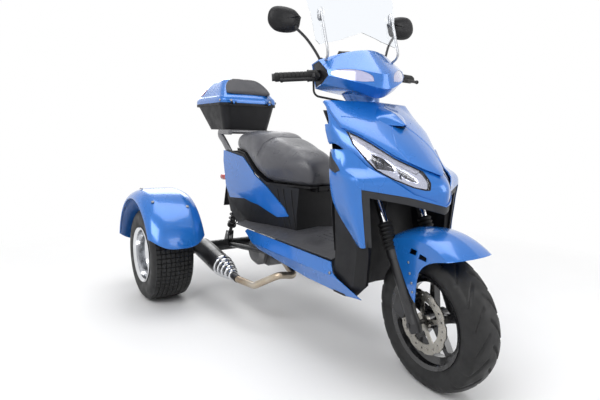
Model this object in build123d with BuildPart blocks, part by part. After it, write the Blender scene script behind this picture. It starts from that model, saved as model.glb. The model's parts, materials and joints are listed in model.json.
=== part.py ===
from build123d import *
import os
from math import cos, hypot, radians, sin, tan

# Motor trike: a scooter front on two wide rear wheels, with a luggage box, a screen and mirrors.
# Millimetres. While it is modelled, x runs ahead of the rear axle, y to the rider's left and z up
# from the ground. The last section turns the steered pieces and moves the origin under the middle.

# Driving sizes
wheelbase = 1339.0
rear_track = 1015.0
wall = 3.0
touch_gap = 0.3
running_gap = 0.05
overrun = 40.0

# Wheels
front_tyre_radius = 236.5
front_tyre_width = 124.0
rear_tyre_radius = 229.5
rear_tyre_width = 205.0
carcass = 9.0

# Steering
rake = 27.0
trail = 85.0
turned_right = 7.3
yoke_height = 672.0


# Shared ways of making shapes
def place(corner, size, shares):
    """Points given as shares of a box, counted from its corner."""
    return [tuple(c + s * part for c, s, part in zip(corner, size, point)) for point in shares]


def unit(u, v):
    """Direction of a plane vector."""
    long = hypot(u, v)
    return u / long, v / long


def strip(points, thick):
    """Closed outline of a wall that follows an open line of points, on its right-hand side."""
    inner = []
    last = len(points) - 1
    for i, (u, v) in enumerate(points):
        steps = []
        if i > 0:
            steps.append(unit(u - points[i - 1][0], v - points[i - 1][1]))
        if i < last:
            steps.append(unit(points[i + 1][0] - u, points[i + 1][1] - v))
        mean = unit(steps[0][0] + steps[-1][0], steps[0][1] + steps[-1][1])
        lean = mean[0] * steps[0][0] + mean[1] * steps[0][1]
        inner.append((u + mean[1] * thick / lean, v - mean[0] * thick / lean))
    return list(points) + inner[::-1]


def whole(half):
    """Open line over both sides of the body, from the half on the right-hand side (negative y)."""
    flipped = [(s, -y) for s, y in reversed(half)]
    if half[-1][1] == 0:
        flipped = flipped[1:]
    return list(half) + flipped


def face_on(plane, points):
    """Flat face through points given on a plane."""
    with BuildSketch(plane) as flat:
        with BuildLine():
            Polyline(*points, close=True)
        make_face()
    return flat.sketch.faces()[0]


def level(z):
    """Level plane at z; its points are (x, y)."""
    return Plane.XY.offset(z)


def across(x):
    """Upright plane across the body at x; its points are (y, z)."""
    return Plane(origin=(x, 0, 0), x_dir=(0, 1, 0), z_dir=(1, 0, 0))


def along(y):
    """Upright plane along the body at y, facing right; its points are (x, z)."""
    return Plane(origin=(0, y, 0), x_dir=(1, 0, 0), z_dir=(0, -1, 0))


def skin(sections, mode=Mode.ADD):
    """Ruled loft through sections, each a plane and an outline."""
    loft(sections=[face_on(plane, points) for plane, points in sections], ruled=True, mode=mode)


def prism(plane, points, depth, mode=Mode.ADD, both=False):
    """Straight solid on an outline."""
    extrude(to_extrude=face_on(plane, points), amount=depth, both=both, mode=mode)


def turn(plane, points, mode=Mode.ADD, arc=360.0):
    """Solid of revolution about the plane's z axis from (radius, along) points."""
    half = Plane(origin=plane.origin, x_dir=plane.x_dir, z_dir=-plane.y_dir)
    revolve(profiles=face_on(half, points), axis=Axis(plane.origin, plane.z_dir), revolution_arc=arc,
            mode=mode)


def tube(points, radius, bend=None, mode=Mode.ADD):
    """Round bar along points."""
    with BuildLine() as way:
        if bend:
            FilletPolyline(*points, radius=bend)
        else:
            Polyline(*points)
    with BuildSketch(Plane(origin=way.line @ 0, z_dir=way.line % 0)) as round_end:
        Circle(radius)
    sweep(sections=round_end.sketch, path=way.line, mode=mode)


def rod(start, end, radius, mode=Mode.ADD):
    """Straight round bar between two points."""
    run = Vector(*end) - Vector(*start)
    add(Solid.make_cylinder(radius, run.length, Plane(origin=start, z_dir=run)), mode=mode)


def slab(low, high, mode=Mode.ADD):
    """Box between two corners."""
    size = [b - a for a, b in zip(low, high)]
    add(Solid.make_box(*size, Plane(origin=low)), mode=mode)


def clear_of(*others):
    """Cuts finished pieces out of the part being made."""
    for other in others:
        add(other.part, mode=Mode.SUBTRACT)


finished = {}


def finish(piece, label, steered=False):
    """Keeps a finished piece under its plain name."""
    piece.part.label = label
    finished[label] = (piece.part, steered)


# Steering axis and fork lines
rake_slope = tan(radians(rake))
axis_foot_x = wheelbase + trail
steering_dir = Vector(-sin(radians(rake)), 0, cos(radians(rake)))
fork_offset = (trail - front_tyre_radius * rake_slope) * -cos(radians(rake))


def steering_x(z):
    """x of the steering axis at height z."""
    return axis_foot_x - z * rake_slope


steer_plane = Plane(
    origin=(steering_x(yoke_height), 0, yoke_height),
    x_dir=(cos(radians(rake)), 0, sin(radians(rake))),
    z_dir=steering_dir,
)


def steer_point(ahead, left, up):
    """Point given ahead of the steering axis, to the left, and up along it from the yoke."""
    return steer_plane.from_local_coords(Vector(ahead, left, up))


def steer_level(up, left=0.0, ahead=0.0):
    """Plane square to the steering axis."""
    return Plane(origin=steer_point(ahead, left, up), x_dir=steer_plane.x_dir, z_dir=steering_dir)


# Frame: head tube, down tube, floor rails that rise to the seat, cross bars and engine lugs
head_low = 32.0
head_length = 228.0
head_tube_radius = 24.0
stem_radius = 13.0
down_tube_radius = 19.0
down_tube_set_back = 377.0
down_tube_foot_x = wheelbase - down_tube_set_back
down_tube_knee_z = 610.0
rail_radius = 14.0
rail_spread = 105.0
rail_height = 352.0
rail_kick_x = 500.0
rail_bend = 60.0
rail_mid_x = 330.0
rail_mid_z = 500.0
rail_end_x = 70.0
rail_end_z = 690.0
cross_bar_radius = 10.0
tie_radius = 12.0
pivot_x = 578.0
pivot_z = 296.0
pivot_radius = 9.0
lug_thick = 8.0
lug_half = 22.0
shock_boss_x = 176.0
shock_boss_reach = 127.0
shock_boss_radius = 12.0
rack_stub_x = 124.0
rack_stub_z = 651.0
rack_stub_reach = 126.0

head_top = head_low + head_length
rail_fall = (rail_end_z - rail_mid_z) / (rail_mid_x - rail_end_x)
shock_boss_z = rail_end_z - (shock_boss_x - rail_end_x) * rail_fall
with BuildPart() as frame:
    rod(steer_point(0, 0, head_low), steer_point(0, 0, head_top), head_tube_radius)
    neck_join = steer_point(0, 0, head_low + head_length / 2)
    tube([neck_join, (down_tube_foot_x, 0, down_tube_knee_z), (down_tube_foot_x, 0, rail_height)],
         down_tube_radius, rail_bend)
    rail_rise = [(rail_kick_x, rail_height), (rail_mid_x, rail_mid_z), (rail_end_x, rail_end_z)]
    for y in (-rail_spread, rail_spread):
        tube([(down_tube_foot_x + rail_radius * 2, y, rail_height)] + [(x, y, z) for x, z in rail_rise],
             rail_radius, rail_bend)
        lug = [(pivot_x - lug_half, rail_height), (pivot_x + lug_half, rail_height),
               (pivot_x + pivot_radius + lug_thick, pivot_z - pivot_radius - lug_thick),
               (pivot_x - pivot_radius - lug_thick, pivot_z - pivot_radius - lug_thick)]
        prism(along(y), lug, lug_thick / 2, both=True)
    for side in (-1, 1):
        rod((shock_boss_x, side * rail_spread, shock_boss_z),
            (shock_boss_x, side * shock_boss_reach, shock_boss_z),
            shock_boss_radius)
    for x, z in [(down_tube_foot_x, rail_height), (rail_end_x, rail_end_z)]:
        rod((x, -rail_spread, z), (x, rail_spread, z), tie_radius)
    rod((rack_stub_x, -rack_stub_reach, rack_stub_z), (rack_stub_x, rack_stub_reach, rack_stub_z),
        cross_bar_radius)
    rod(steer_point(0, 0, head_low - overrun), steer_point(0, 0, head_top + overrun),
        stem_radius + running_gap, mode=Mode.SUBTRACT)
    rod((pivot_x, -rail_spread - overrun, pivot_z), (pivot_x, rail_spread + overrun, pivot_z),
        pivot_radius, mode=Mode.SUBTRACT)
finish(frame, "frame")

# Shock absorbers: a coil over a damper on each side, from the axle ears to the frame rails
shock_eye_x = 36.0
shock_eye_z = 300.0
shock_pin_radius = 8.0
shock_eye_radius = 15.0
shock_ear_thick = 6.0
shock_eye_half = 10.0
spring_radius = 22.0
spring_shares = (0.16, 0.84)
spring_turns = 9
spring_wire = 7.0
damper_radius = 9.0

shock_spread = shock_boss_reach + shock_eye_half
with BuildPart() as shock_absorbers:
    for side in (-1, 1):
        foot = Vector(shock_eye_x, side * shock_spread, shock_eye_z)
        top = Vector(shock_boss_x, side * shock_spread, shock_boss_z)
        run = top - foot
        rod(foot, top, damper_radius)
        low, high = spring_shares
        for turn_number in range(spring_turns):
            start = foot + run * (low + (high - low) * turn_number / spring_turns)
            rod(start, start + run.normalized() * spring_wire, spring_radius)
        for eye in (foot, top):
            rod(eye - Vector(0, shock_eye_half, 0), eye + Vector(0, shock_eye_half, 0), shock_eye_radius)
        ear_reach = Vector(0, shock_eye_half + shock_ear_thick, 0)
        rod(foot - ear_reach, foot + ear_reach, shock_pin_radius)
finish(shock_absorbers, "shock_absorbers")
# Rear subframe: the axle housing on two arms from the engine pivot, with stays for the fenders
axle_tube_radius = 30.0
axle_tube_set_in = 67.5
axle_tube_reach = rear_track / 2 - axle_tube_set_in
half_shaft_radius = 14.0
arm_radius = 13.0
arm_spread = 128.0
stay_width = 44.0
stay_thick = 8.0
fender_inner_y = 374.0
fender_flange_radius = 262.0
fender_radius = 303.0

axle_z = rear_tyre_radius
with BuildPart() as rear_subframe:
    rod((0, -axle_tube_reach, axle_z), (0, axle_tube_reach, axle_z), axle_tube_radius)
    rod((pivot_x, -arm_spread - arm_radius, pivot_z), (pivot_x, arm_spread + arm_radius, pivot_z),
        pivot_radius)
    for side in (-1, 1):
        y = side * arm_spread
        rod((0, y, axle_z), (pivot_x, y, pivot_z), arm_radius)
        flange_y = side * fender_inner_y
        stay = [(-stay_width / 2, axle_z), (stay_width / 2, axle_z),
                (stay_width / 2, axle_z + fender_flange_radius + stay_width / 2),
                (-stay_width / 2, axle_z + fender_flange_radius + stay_width / 2)]
        prism(along(flange_y - side * stay_thick / 2), stay, stay_thick / 2, both=True)
        ear_top = shock_eye_z + shock_pin_radius + shock_ear_thick
        ear = [(-shock_eye_x / 2, axle_z), (shock_eye_x, axle_z),
               (shock_eye_x + shock_pin_radius + shock_ear_thick, ear_top),
               (shock_eye_x - shock_pin_radius - shock_ear_thick, ear_top)]
        for reach in (-1, 1):
            ear_y = side * shock_spread + reach * (shock_eye_half + shock_ear_thick / 2)
            prism(along(ear_y), ear, shock_ear_thick / 2, both=True)
    rod((0, -axle_tube_reach - overrun, axle_z), (0, axle_tube_reach + overrun, axle_z),
        half_shaft_radius + running_gap, mode=Mode.SUBTRACT)
    clear_of(frame, shock_absorbers)
finish(rear_subframe, "rear_subframe")

# Engine: crankcase, forward cylinder with fins, round fan shroud, and the case that drives the axle
crank_x = 300.0
crank_z = 258.0
crank_length = 190.0
crank_height = 130.0
crank_half = 92.0
fin_count = 7
fin_pitch = 15.0
fin_thick = 7.0
cylinder_radius = 46.0
head_block = 42.0
fan_radius = 74.0
fan_depth = 40.0
drive_case_y = 58.0
drive_case_depth = 44.0
drive_case_radius = 62.0
engine_fillet = 18.0

with BuildPart() as engine:
    crank_low_z = crank_z - crank_height / 2
    slab((crank_x - crank_length / 2, -crank_half, crank_low_z),
         (crank_x + crank_length / 2, crank_half, crank_low_z + crank_height))
    fillet(engine.edges().filter_by(Axis.Y), engine_fillet)
    turn(Plane(origin=(crank_x, -crank_half, crank_z), x_dir=(1, 0, 0), z_dir=(0, -1, 0)),
         [(0, 0), (fan_radius, 0), (fan_radius, fan_depth / 2), (fan_radius - engine_fillet, fan_depth),
          (0, fan_depth)])
    case = [(0, axle_z), (crank_x, crank_z)]
    drive_plane = along(drive_case_y + drive_case_depth)
    for x, z in case:
        rod((x, drive_case_y, z), (x, drive_case_y + drive_case_depth, z), drive_case_radius)
    case_side = [(0, axle_z - drive_case_radius), (crank_x, crank_z - drive_case_radius),
                 (crank_x, crank_z + drive_case_radius), (0, axle_z + drive_case_radius)]
    prism(drive_plane, case_side, drive_case_depth)
    barrel_x = crank_x + crank_length / 2
    barrel_reach = fin_count * fin_pitch
    rod((barrel_x, 0, crank_z), (barrel_x + barrel_reach + head_block, 0, crank_z),
        cylinder_radius - fin_thick)
    for fin in range(fin_count):
        fin_x = barrel_x + fin * fin_pitch + fin_thick
        slab((fin_x, -cylinder_radius, crank_z - cylinder_radius),
             (fin_x + fin_thick, cylinder_radius, crank_z + cylinder_radius))
    slab((barrel_x + barrel_reach, -cylinder_radius, crank_z - cylinder_radius),
         (barrel_x + barrel_reach + head_block, cylinder_radius, crank_z + cylinder_radius))
    rod((0, -axle_tube_reach, axle_z), (0, axle_tube_reach, axle_z), axle_tube_radius, mode=Mode.SUBTRACT)
    clear_of(frame, rear_subframe, shock_absorbers)
finish(engine, "engine")

# Muffler: a black can with turned rings toward its front cone, under the right side
muffler_y = -312.0
muffler_rear_x = 66.0
muffler_rear_z = 250.0
muffler_front_x = 485.0
muffler_front_z = 188.0
muffler_radius = 50.0
muffler_neck_radius = 17.0
muffler_can_share = 0.60
muffler_cone_share = 0.86
muffler_ring_count = 4
tail_pipe_radius = 14.0
tail_pipe_reach = 26.0

muffler_rear = Vector(muffler_rear_x, muffler_y, muffler_rear_z)
muffler_front = Vector(muffler_front_x, muffler_y, muffler_front_z)
muffler_run = muffler_front - muffler_rear
muffler_plane = Plane(origin=muffler_rear, x_dir=(0, 1, 0), z_dir=muffler_run)
with BuildPart() as muffler:
    can_end = muffler_run.length * muffler_can_share
    cone_end = muffler_run.length * muffler_cone_share
    ring_pitch = (cone_end - can_end) / muffler_ring_count
    outline = [(0, 0), (muffler_radius * muffler_can_share, 0), (muffler_radius, tail_pipe_radius),
               (muffler_radius, can_end)]
    for ring in range(muffler_ring_count):
        at = can_end + ring * ring_pitch
        shrink = (muffler_radius - muffler_neck_radius) * (ring + 1) / (muffler_ring_count + 1)
        outline += [(muffler_radius - shrink, at), (muffler_radius - shrink, at + ring_pitch / 2),
                    (muffler_radius - shrink - wall, at + ring_pitch / 2),
                    (muffler_radius - shrink - wall, at + ring_pitch)]
    outline += [(muffler_neck_radius, cone_end), (muffler_neck_radius, muffler_run.length),
                (0, muffler_run.length)]
    turn(muffler_plane, outline)
    tail_end = muffler_rear - muffler_run.normalized() * tail_pipe_reach
    rod(muffler_rear, tail_end, tail_pipe_radius)
    rod(tail_end - muffler_run.normalized() * overrun, muffler_rear + muffler_run.normalized() * overrun,
        tail_pipe_radius - wall, mode=Mode.SUBTRACT)
finish(muffler, "muffler")

# Exhaust pipe: from the cylinder head forward, out under the floor and back to the muffler
pipe_radius = 15.0
pipe_bend = 34.0
pipe_out_x = 700.0
pipe_out_y = -150.0
pipe_out_z = 236.0
pipe_turn_y = -224.0
pipe_turn_z = 250.0
pipe_low_x = 600.0
pipe_low_y = -290.0
pipe_low_z = 186.0

with BuildPart() as exhaust_pipe:
    head_x = barrel_x + barrel_reach + head_block / 2
    tube([(head_x, -cylinder_radius, crank_z),
          (head_x, -cylinder_radius - pipe_bend - pipe_radius, crank_z),
          (pipe_out_x, pipe_out_y, pipe_out_z), (pipe_out_x, pipe_turn_y, pipe_turn_z),
          (pipe_low_x, pipe_low_y, pipe_low_z), muffler_front], pipe_radius, pipe_bend)
    clear_of(engine, muffler)
finish(exhaust_pipe, "exhaust_pipe")

# Wheels: the outlines are (radius, distance outward) about the axle
spoke_count = 5


def wheel_plane(x, y, z, outward):
    """Plane of a wheel, whose z axis is the axle pointing outward."""
    return Plane(origin=(x, y, z), x_dir=(0, 0, 1), z_dir=(0, outward, 0))


def tyre(plane, radius, half, bead_radius, bead_half, crown):
    """Hollow tyre with a crowned tread, open at the beads."""
    half_plane = Plane(origin=plane.origin, x_dir=plane.x_dir, z_dir=-plane.y_dir)
    flank = (radius + bead_radius) / 2
    shoulder = radius - crown
    with BuildSketch(half_plane) as section:
        with BuildLine():
            Polyline((bead_radius, bead_half), (flank, half), (shoulder, half - carcass))
            ThreePointArc((shoulder, half - carcass), (radius, 0), (shoulder, carcass - half))
            Polyline((shoulder, carcass - half), (flank, -half), (bead_radius, -bead_half),
                     (bead_radius, carcass - bead_half), (flank, carcass - half),
                     (shoulder - carcass, carcass * 2 - half))
            ThreePointArc((shoulder - carcass, carcass * 2 - half), (radius - carcass, 0),
                          (shoulder - carcass, half - carcass * 2))
            Polyline((shoulder - carcass, half - carcass * 2), (flank, half - carcass),
                     (bead_radius, bead_half - carcass), (bead_radius, bead_half))
        make_face()
    revolve(profiles=section.sketch.faces(), axis=Axis(plane.origin, plane.z_dir))


# Front wheel: black five-spoke casting, its tyre and the wavy brake disc
front_bead_radius = 152.0
front_lip_radius = 163.0
front_rim_half = 48.0
front_drop_radius = 130.0
rim_wall = 5.0
front_hub_radius = 30.0
front_hub_half = 42.0
front_axle_radius = 8.0
spoke_root_half = 15.0
spoke_tip_half = 9.0
spoke_thick = 24.0
front_crown = 30.0
disc_radius = 109.0
disc_ring = 34.0
disc_offset = 52.0
disc_thick = 4.0
disc_lobes = 10
disc_lobe_depth = 4.0
disc_hole_radius = 3.5
disc_hole_count = 20
disc_arm_half = 8.0

front_wheel_plane = wheel_plane(wheelbase, 0, front_tyre_radius, -1)
with BuildPart() as front_rim:
    flank_along = front_rim_half - rim_wall
    half_rim = [(front_lip_radius, front_rim_half), (front_bead_radius, flank_along),
                (front_bead_radius, flank_along / 2), (front_drop_radius, flank_along / 4)]
    turn(front_wheel_plane, strip(half_rim + [(r, -a) for r, a in reversed(half_rim)], rim_wall))
    turn(front_wheel_plane, [(0, -front_hub_half), (front_hub_radius, -front_hub_half),
                             (front_hub_radius, front_hub_half), (0, front_hub_half)])
    spoke_tip = front_drop_radius - rim_wall / 2
    with BuildSketch(front_wheel_plane.offset(-spoke_thick / 2)):
        with PolarLocations(0, spoke_count):
            Polygon((front_hub_radius - rim_wall, spoke_root_half),
                    (front_hub_radius - rim_wall, -spoke_root_half),
                    (spoke_tip, -spoke_tip_half), (spoke_tip, spoke_tip_half), align=None)
    extrude(amount=spoke_thick)
    rod((wheelbase, -front_hub_half - overrun, front_tyre_radius),
        (wheelbase, front_hub_half + overrun, front_tyre_radius),
        front_axle_radius + running_gap, mode=Mode.SUBTRACT)
finish(front_rim, "front_rim", steered=True)

with BuildPart() as front_tyre:
    tyre(front_wheel_plane, front_tyre_radius, front_tyre_width / 2, front_bead_radius, flank_along,
         front_crown)
    clear_of(front_rim)
finish(front_tyre, "front_tyre", steered=True)

with BuildPart() as brake_disc:
    disc_plane = front_wheel_plane.offset(disc_offset - disc_thick / 2)
    with BuildSketch(disc_plane) as ring:
        Circle(disc_radius)
        with PolarLocations(disc_radius + disc_ring - disc_lobe_depth, disc_lobes):
            Circle(disc_ring, mode=Mode.SUBTRACT)
        Circle(disc_radius - disc_ring, mode=Mode.SUBTRACT)
        with PolarLocations(disc_radius - disc_ring / 2, disc_hole_count):
            Circle(disc_hole_radius, mode=Mode.SUBTRACT)
        with PolarLocations(0, spoke_count):
            Polygon((0, disc_arm_half), (0, -disc_arm_half),
                    (disc_radius - disc_ring + disc_lobe_depth, -disc_arm_half),
                    (disc_radius - disc_ring + disc_lobe_depth, disc_arm_half), align=None)
        Circle(front_hub_radius)
    extrude(amount=disc_thick)
    turn(front_wheel_plane, [(0, front_hub_half), (front_hub_radius, front_hub_half),
                             (front_hub_radius, disc_offset), (0, disc_offset)])
    rod((wheelbase, -disc_offset - overrun, front_tyre_radius), (wheelbase, 0, front_tyre_radius),
        front_axle_radius + running_gap, mode=Mode.SUBTRACT)
finish(brake_disc, "brake_disc", steered=True)

# Rear wheels: deep dished rims that carry the half shafts, and their wide tyres
rear_bead_radius = 127.0
rear_lip_radius = 138.0
rear_rim_half = 98.0
rear_dish_radius = 112.0
rear_disc_offset = -28.0
rear_disc_thick = 9.0
rear_window_radius = 17.0
rear_window_circle = 70.0
rear_hub_radius = 33.0
rear_hub_length = 46.0
rear_cap_radius = 24.0
rear_crown = 14.0
shaft_end_y = 130.0

for side, name in [(-1, "right"), (1, "left")]:
    rear_plane = wheel_plane(0, side * rear_track / 2, rear_tyre_radius, side)
    with BuildPart() as rear_rim:
        outer_step = rear_rim_half - rim_wall * 2
        bowl = [(rear_lip_radius, rear_rim_half), (rear_bead_radius, outer_step),
                (rear_bead_radius, outer_step / 2), (rear_dish_radius, outer_step / 4),
                (rear_dish_radius, -outer_step / 2), (rear_bead_radius, -outer_step * 2 / 3),
                (rear_bead_radius, -outer_step), (rear_lip_radius, -rear_rim_half)]
        turn(rear_plane, strip(bowl, rim_wall))
        dish_inner = rear_dish_radius - rim_wall / 2
        disc_face = rear_disc_offset + rear_disc_thick
        hub_face = rear_disc_offset + rear_hub_length
        turn(rear_plane, [(0, rear_disc_offset), (dish_inner, rear_disc_offset), (dish_inner, disc_face),
                          (rear_hub_radius, disc_face), (rear_cap_radius, hub_face), (0, hub_face)])
        with BuildSketch(rear_plane.offset(rear_disc_offset - overrun)):
            with PolarLocations(rear_window_circle, spoke_count):
                Circle(rear_window_radius)
        extrude(amount=overrun * 2, mode=Mode.SUBTRACT)
        shaft_inner = shaft_end_y - rear_track / 2
        turn(rear_plane, [(0, shaft_inner), (half_shaft_radius, shaft_inner),
                          (half_shaft_radius, rear_disc_offset), (0, rear_disc_offset)])
    finish(rear_rim, f"rear_rim_{name}")

    with BuildPart() as rear_tyre:
        tyre(rear_plane, rear_tyre_radius, rear_tyre_width / 2, rear_bead_radius, outer_step, rear_crown)
        clear_of(rear_rim)
    finish(rear_tyre, f"rear_tyre_{name}")

# Fork: stem and lower bridge, chrome tubes, black sliders with the axle, and ribbed boots
fork_spread = 88.0
fork_tube_radius = 15.0
bridge_thick = 26.0
bridge_clamp_radius = 24.0
stem_reach = 268.0
tube_reach = 320.0
slider_radius = 20.0
slider_top = 255.0
slider_lip = 3.0
axle_lug_radius = 24.0
axle_lug_drop = 30.0
boot_top = 158.0
boot_radius = 26.0
boot_fold = 5.0
boot_folds = 7
axle_down = (steer_point(0, 0, 0) - Vector(wheelbase, 0, front_tyre_radius)).dot(steering_dir)

with BuildPart() as fork_yoke:
    rod(steer_point(0, 0, -bridge_thick / 2), steer_point(0, 0, stem_reach), stem_radius)
    with BuildSketch(steer_level(-bridge_thick / 2)):
        with BuildLine():
            Polyline((fork_offset - bridge_clamp_radius, -fork_spread), (-bridge_clamp_radius, 0),
                     (fork_offset - bridge_clamp_radius, fork_spread), (fork_offset + bridge_clamp_radius,
                                                                        fork_spread),
                     (fork_offset + bridge_clamp_radius / 2, 0), (fork_offset + bridge_clamp_radius,
                                                                  -fork_spread), close=True)
        make_face()
        with Locations((fork_offset, fork_spread), (fork_offset, -fork_spread), (0, 0)):
            Circle(bridge_clamp_radius)
    extrude(amount=bridge_thick)
    for side in (-1, 1):
        rod(steer_point(fork_offset, side * fork_spread, -overrun),
            steer_point(fork_offset, side * fork_spread, overrun),
            fork_tube_radius, mode=Mode.SUBTRACT)
finish(fork_yoke, "fork_yoke", steered=True)

with BuildPart() as fork_sliders:
    for side in (-1, 1):
        leg = steer_level(-axle_down, side * fork_spread, fork_offset)
        body_top = axle_down - slider_top
        turn(leg, [(0, -axle_lug_drop), (slider_radius, -axle_lug_drop), (axle_lug_radius, 0),
                   (slider_radius, axle_lug_drop),
                   (slider_radius, body_top - axle_lug_drop), (slider_radius + slider_lip,
                                                               body_top - axle_lug_drop),
                   (slider_radius + slider_lip, body_top), (0, body_top)])
        rod(steer_point(fork_offset, side * fork_spread, axle_lug_drop - axle_down),
            steer_point(fork_offset, side * fork_spread, overrun), fork_tube_radius, mode=Mode.SUBTRACT)
    rod((wheelbase, -fork_spread - axle_lug_radius - wall, front_tyre_radius),
        (wheelbase, fork_spread + axle_lug_radius + wall, front_tyre_radius), front_axle_radius)
finish(fork_sliders, "fork_sliders", steered=True)

with BuildPart() as fork_tubes:
    for side in (-1, 1):
        rod(steer_point(fork_offset, side * fork_spread, -tube_reach),
            steer_point(fork_offset, side * fork_spread, bridge_thick / 2), fork_tube_radius)
finish(fork_tubes, "fork_tubes", steered=True)

with BuildPart() as fork_boots:
    for side in (-1, 1):
        leg = steer_level(0, side * fork_spread, fork_offset)
        fold_pitch = (slider_top - boot_top) / boot_folds
        bellows = [(fork_tube_radius, -boot_top)]
        for fold in range(boot_folds):
            start = -boot_top - fold * fold_pitch
            bellows += [(boot_radius - boot_fold, start), (boot_radius, start - fold_pitch / 2)]
        bellows += [(boot_radius - boot_fold, -slider_top), (fork_tube_radius, -slider_top)]
        turn(leg, bellows)
finish(fork_boots, "fork_boots", steered=True)

# Front fender: a crowned shell over the tyre with a pointed nose and two legs to the fork
front_fender_radius = 309.0
front_fender_crease_drop = 24.0
front_fender_half = 93.0
front_fender_skirt = 66.0
front_fender_rear_angle = 124.0
front_fender_arc = 80.0
fender_side_length = 330.0
fender_side_height = 240.0
fender_side_set_back = 159.0
fender_side_rear_x = wheelbase - fender_side_set_back
fender_side_base_z = 312.0
fender_side_shares = [(0.02, 0.98), (0.25, 0.50), (0.43, 0.09), (0.50, 0.0), (0.55, 0.42), (0.64, 0.56),
                      (0.75, 0.64),
                      (0.95, 0.71), (1.02, 0.73), (0.95, 1.05), (0.0, 1.05)]
vent_shares = [[(0.42, 0.66), (0.51, 0.66), (0.53, 0.73), (0.44, 0.74)],
               [(0.55, 0.63), (0.66, 0.62), (0.66, 0.68), (0.57, 0.70)]]

with BuildPart() as front_fender:
    rear_angle = radians(front_fender_rear_angle)
    start_plane = Plane(origin=(wheelbase, 0, front_tyre_radius),
                        x_dir=(cos(rear_angle), 0, sin(rear_angle)),
                        z_dir=(0, 1, 0))
    crease_radius = front_fender_radius - front_fender_crease_drop
    crown_half = [(front_fender_skirt, front_fender_half), (crease_radius, front_fender_half),
                  (front_fender_radius - front_fender_crease_drop / 3, front_fender_half * 2 / 3),
                  (front_fender_radius, 0)]
    turn(start_plane, strip(crown_half + [(r, -a) for r, a in reversed(crown_half[:-1])], wall),
         arc=front_fender_arc)
    fender_corner = (fender_side_rear_x, fender_side_base_z)
    fender_size = (fender_side_length, fender_side_height)
    prism(along(0), place(fender_corner, fender_size, fender_side_shares), front_fender_half + overrun,
          mode=Mode.INTERSECT, both=True)
    for vent in vent_shares:
        prism(along(0), place(fender_corner, fender_size, vent), front_fender_half + overrun,
              mode=Mode.SUBTRACT, both=True)
    for side in (-1, 1):
        rod(steer_point(fork_offset, side * fork_spread, -axle_down),
            steer_point(fork_offset, side * fork_spread, 0),
            boot_radius + touch_gap, mode=Mode.SUBTRACT)
finish(front_fender, "front_fender", steered=True)

# Brake caliper: two halves that straddle the disc behind the right fork leg
caliper_angle = 158.0
caliper_reach = 92.0
caliper_length = 84.0
caliper_depth = 62.0
caliper_half = 24.0
caliper_slot = 1.0

with BuildPart() as brake_caliper:
    away = radians(caliper_angle)
    caliper_centre = Vector(wheelbase + caliper_reach * cos(away), -disc_offset,
                            front_tyre_radius + caliper_reach * sin(away))
    caliper_plane = Plane(origin=caliper_centre, x_dir=(sin(away), 0, -cos(away)), z_dir=(0, 1, 0))
    with BuildSketch(caliper_plane.offset(-caliper_half)) as block:
        Rectangle(caliper_length, caliper_depth)
        fillet(block.vertices(), caliper_half / 2)
    extrude(amount=caliper_half * 2)
    turn(front_wheel_plane, [(0, disc_offset - disc_thick / 2 - caliper_slot),
                             (disc_radius + touch_gap + caliper_slot,
                              disc_offset - disc_thick / 2 - caliper_slot),
                             (disc_radius + touch_gap + caliper_slot,
                              disc_offset + disc_thick / 2 + caliper_slot),
                             (0, disc_offset + disc_thick / 2 + caliper_slot)], mode=Mode.SUBTRACT)
    lug_low = steer_point(fork_offset, 0, caliper_reach - axle_down - caliper_half * 2)
    lug_high = steer_point(fork_offset, 0, caliper_reach - axle_down + caliper_half)
    bracket = [(caliper_centre.X, caliper_centre.Z - caliper_half), (lug_low.X, lug_low.Z),
               (lug_high.X, lug_high.Z),
               (caliper_centre.X, caliper_centre.Z + caliper_half)]
    prism(along(-disc_offset - caliper_half + wall), bracket, caliper_half / 2)
    rod(steer_point(fork_offset, -fork_spread, -axle_down), steer_point(fork_offset, -fork_spread, 0),
        slider_radius + slider_lip, mode=Mode.SUBTRACT)
finish(brake_caliper, "brake_caliper", steered=True)

# Handlebar: riser on the stem, bent bar and end weights
bar_radius = 11.0
bar_clamp_set_back = 434.0
bar_clamp_x = wheelbase - bar_clamp_set_back
bar_clamp_z = 1012.0
bar_knee_y = 168.0
bar_knee_set_back = 446.0
bar_knee_x = wheelbase - bar_knee_set_back
bar_knee_z = 1067.0
bar_end_y = 322.0
bar_end_set_back = 513.0
bar_end_x = wheelbase - bar_end_set_back
bar_end_z = 1064.0
riser_radius = 19.0
bar_weight_radius = 14.0
bar_weight_length = 10.0

with BuildPart() as handlebar:
    tube([(bar_end_x, -bar_end_y, bar_end_z), (bar_knee_x, -bar_knee_y, bar_knee_z),
          (bar_clamp_x, -riser_radius * 2, bar_clamp_z), (bar_clamp_x, riser_radius * 2, bar_clamp_z),
          (bar_knee_x, bar_knee_y, bar_knee_z), (bar_end_x, bar_end_y, bar_end_z)],
         bar_radius, riser_radius)
    stem_top = steer_point(0, 0, stem_reach)
    clamp_foot = steer_point(0, 0, head_top + wall)
    rod(clamp_foot, steer_point(0, 0, stem_reach + riser_radius), riser_radius)
    rod(stem_top, (bar_clamp_x, 0, bar_clamp_z), riser_radius - wall)
    rod((bar_clamp_x, -riser_radius, bar_clamp_z), (bar_clamp_x, riser_radius, bar_clamp_z),
        riser_radius + wall)
    for side in (-1, 1):
        bar_tip = Vector(bar_end_x, side * bar_end_y, bar_end_z)
        out = (bar_tip - Vector(bar_knee_x, side * bar_knee_y, bar_knee_z)).normalized()
        rod(bar_tip, bar_tip + out * bar_weight_length, bar_weight_radius)
    clear_of(fork_yoke)
finish(handlebar, "handlebar", steered=True)

# Grips: ribbed rubber sleeves on the bar ends
grip_radius = 17.0
grip_flange_radius = 22.0
grip_length = 128.0
grip_flange = 6.0
grip_ring_count = 8
grip_groove = 1.5


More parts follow.
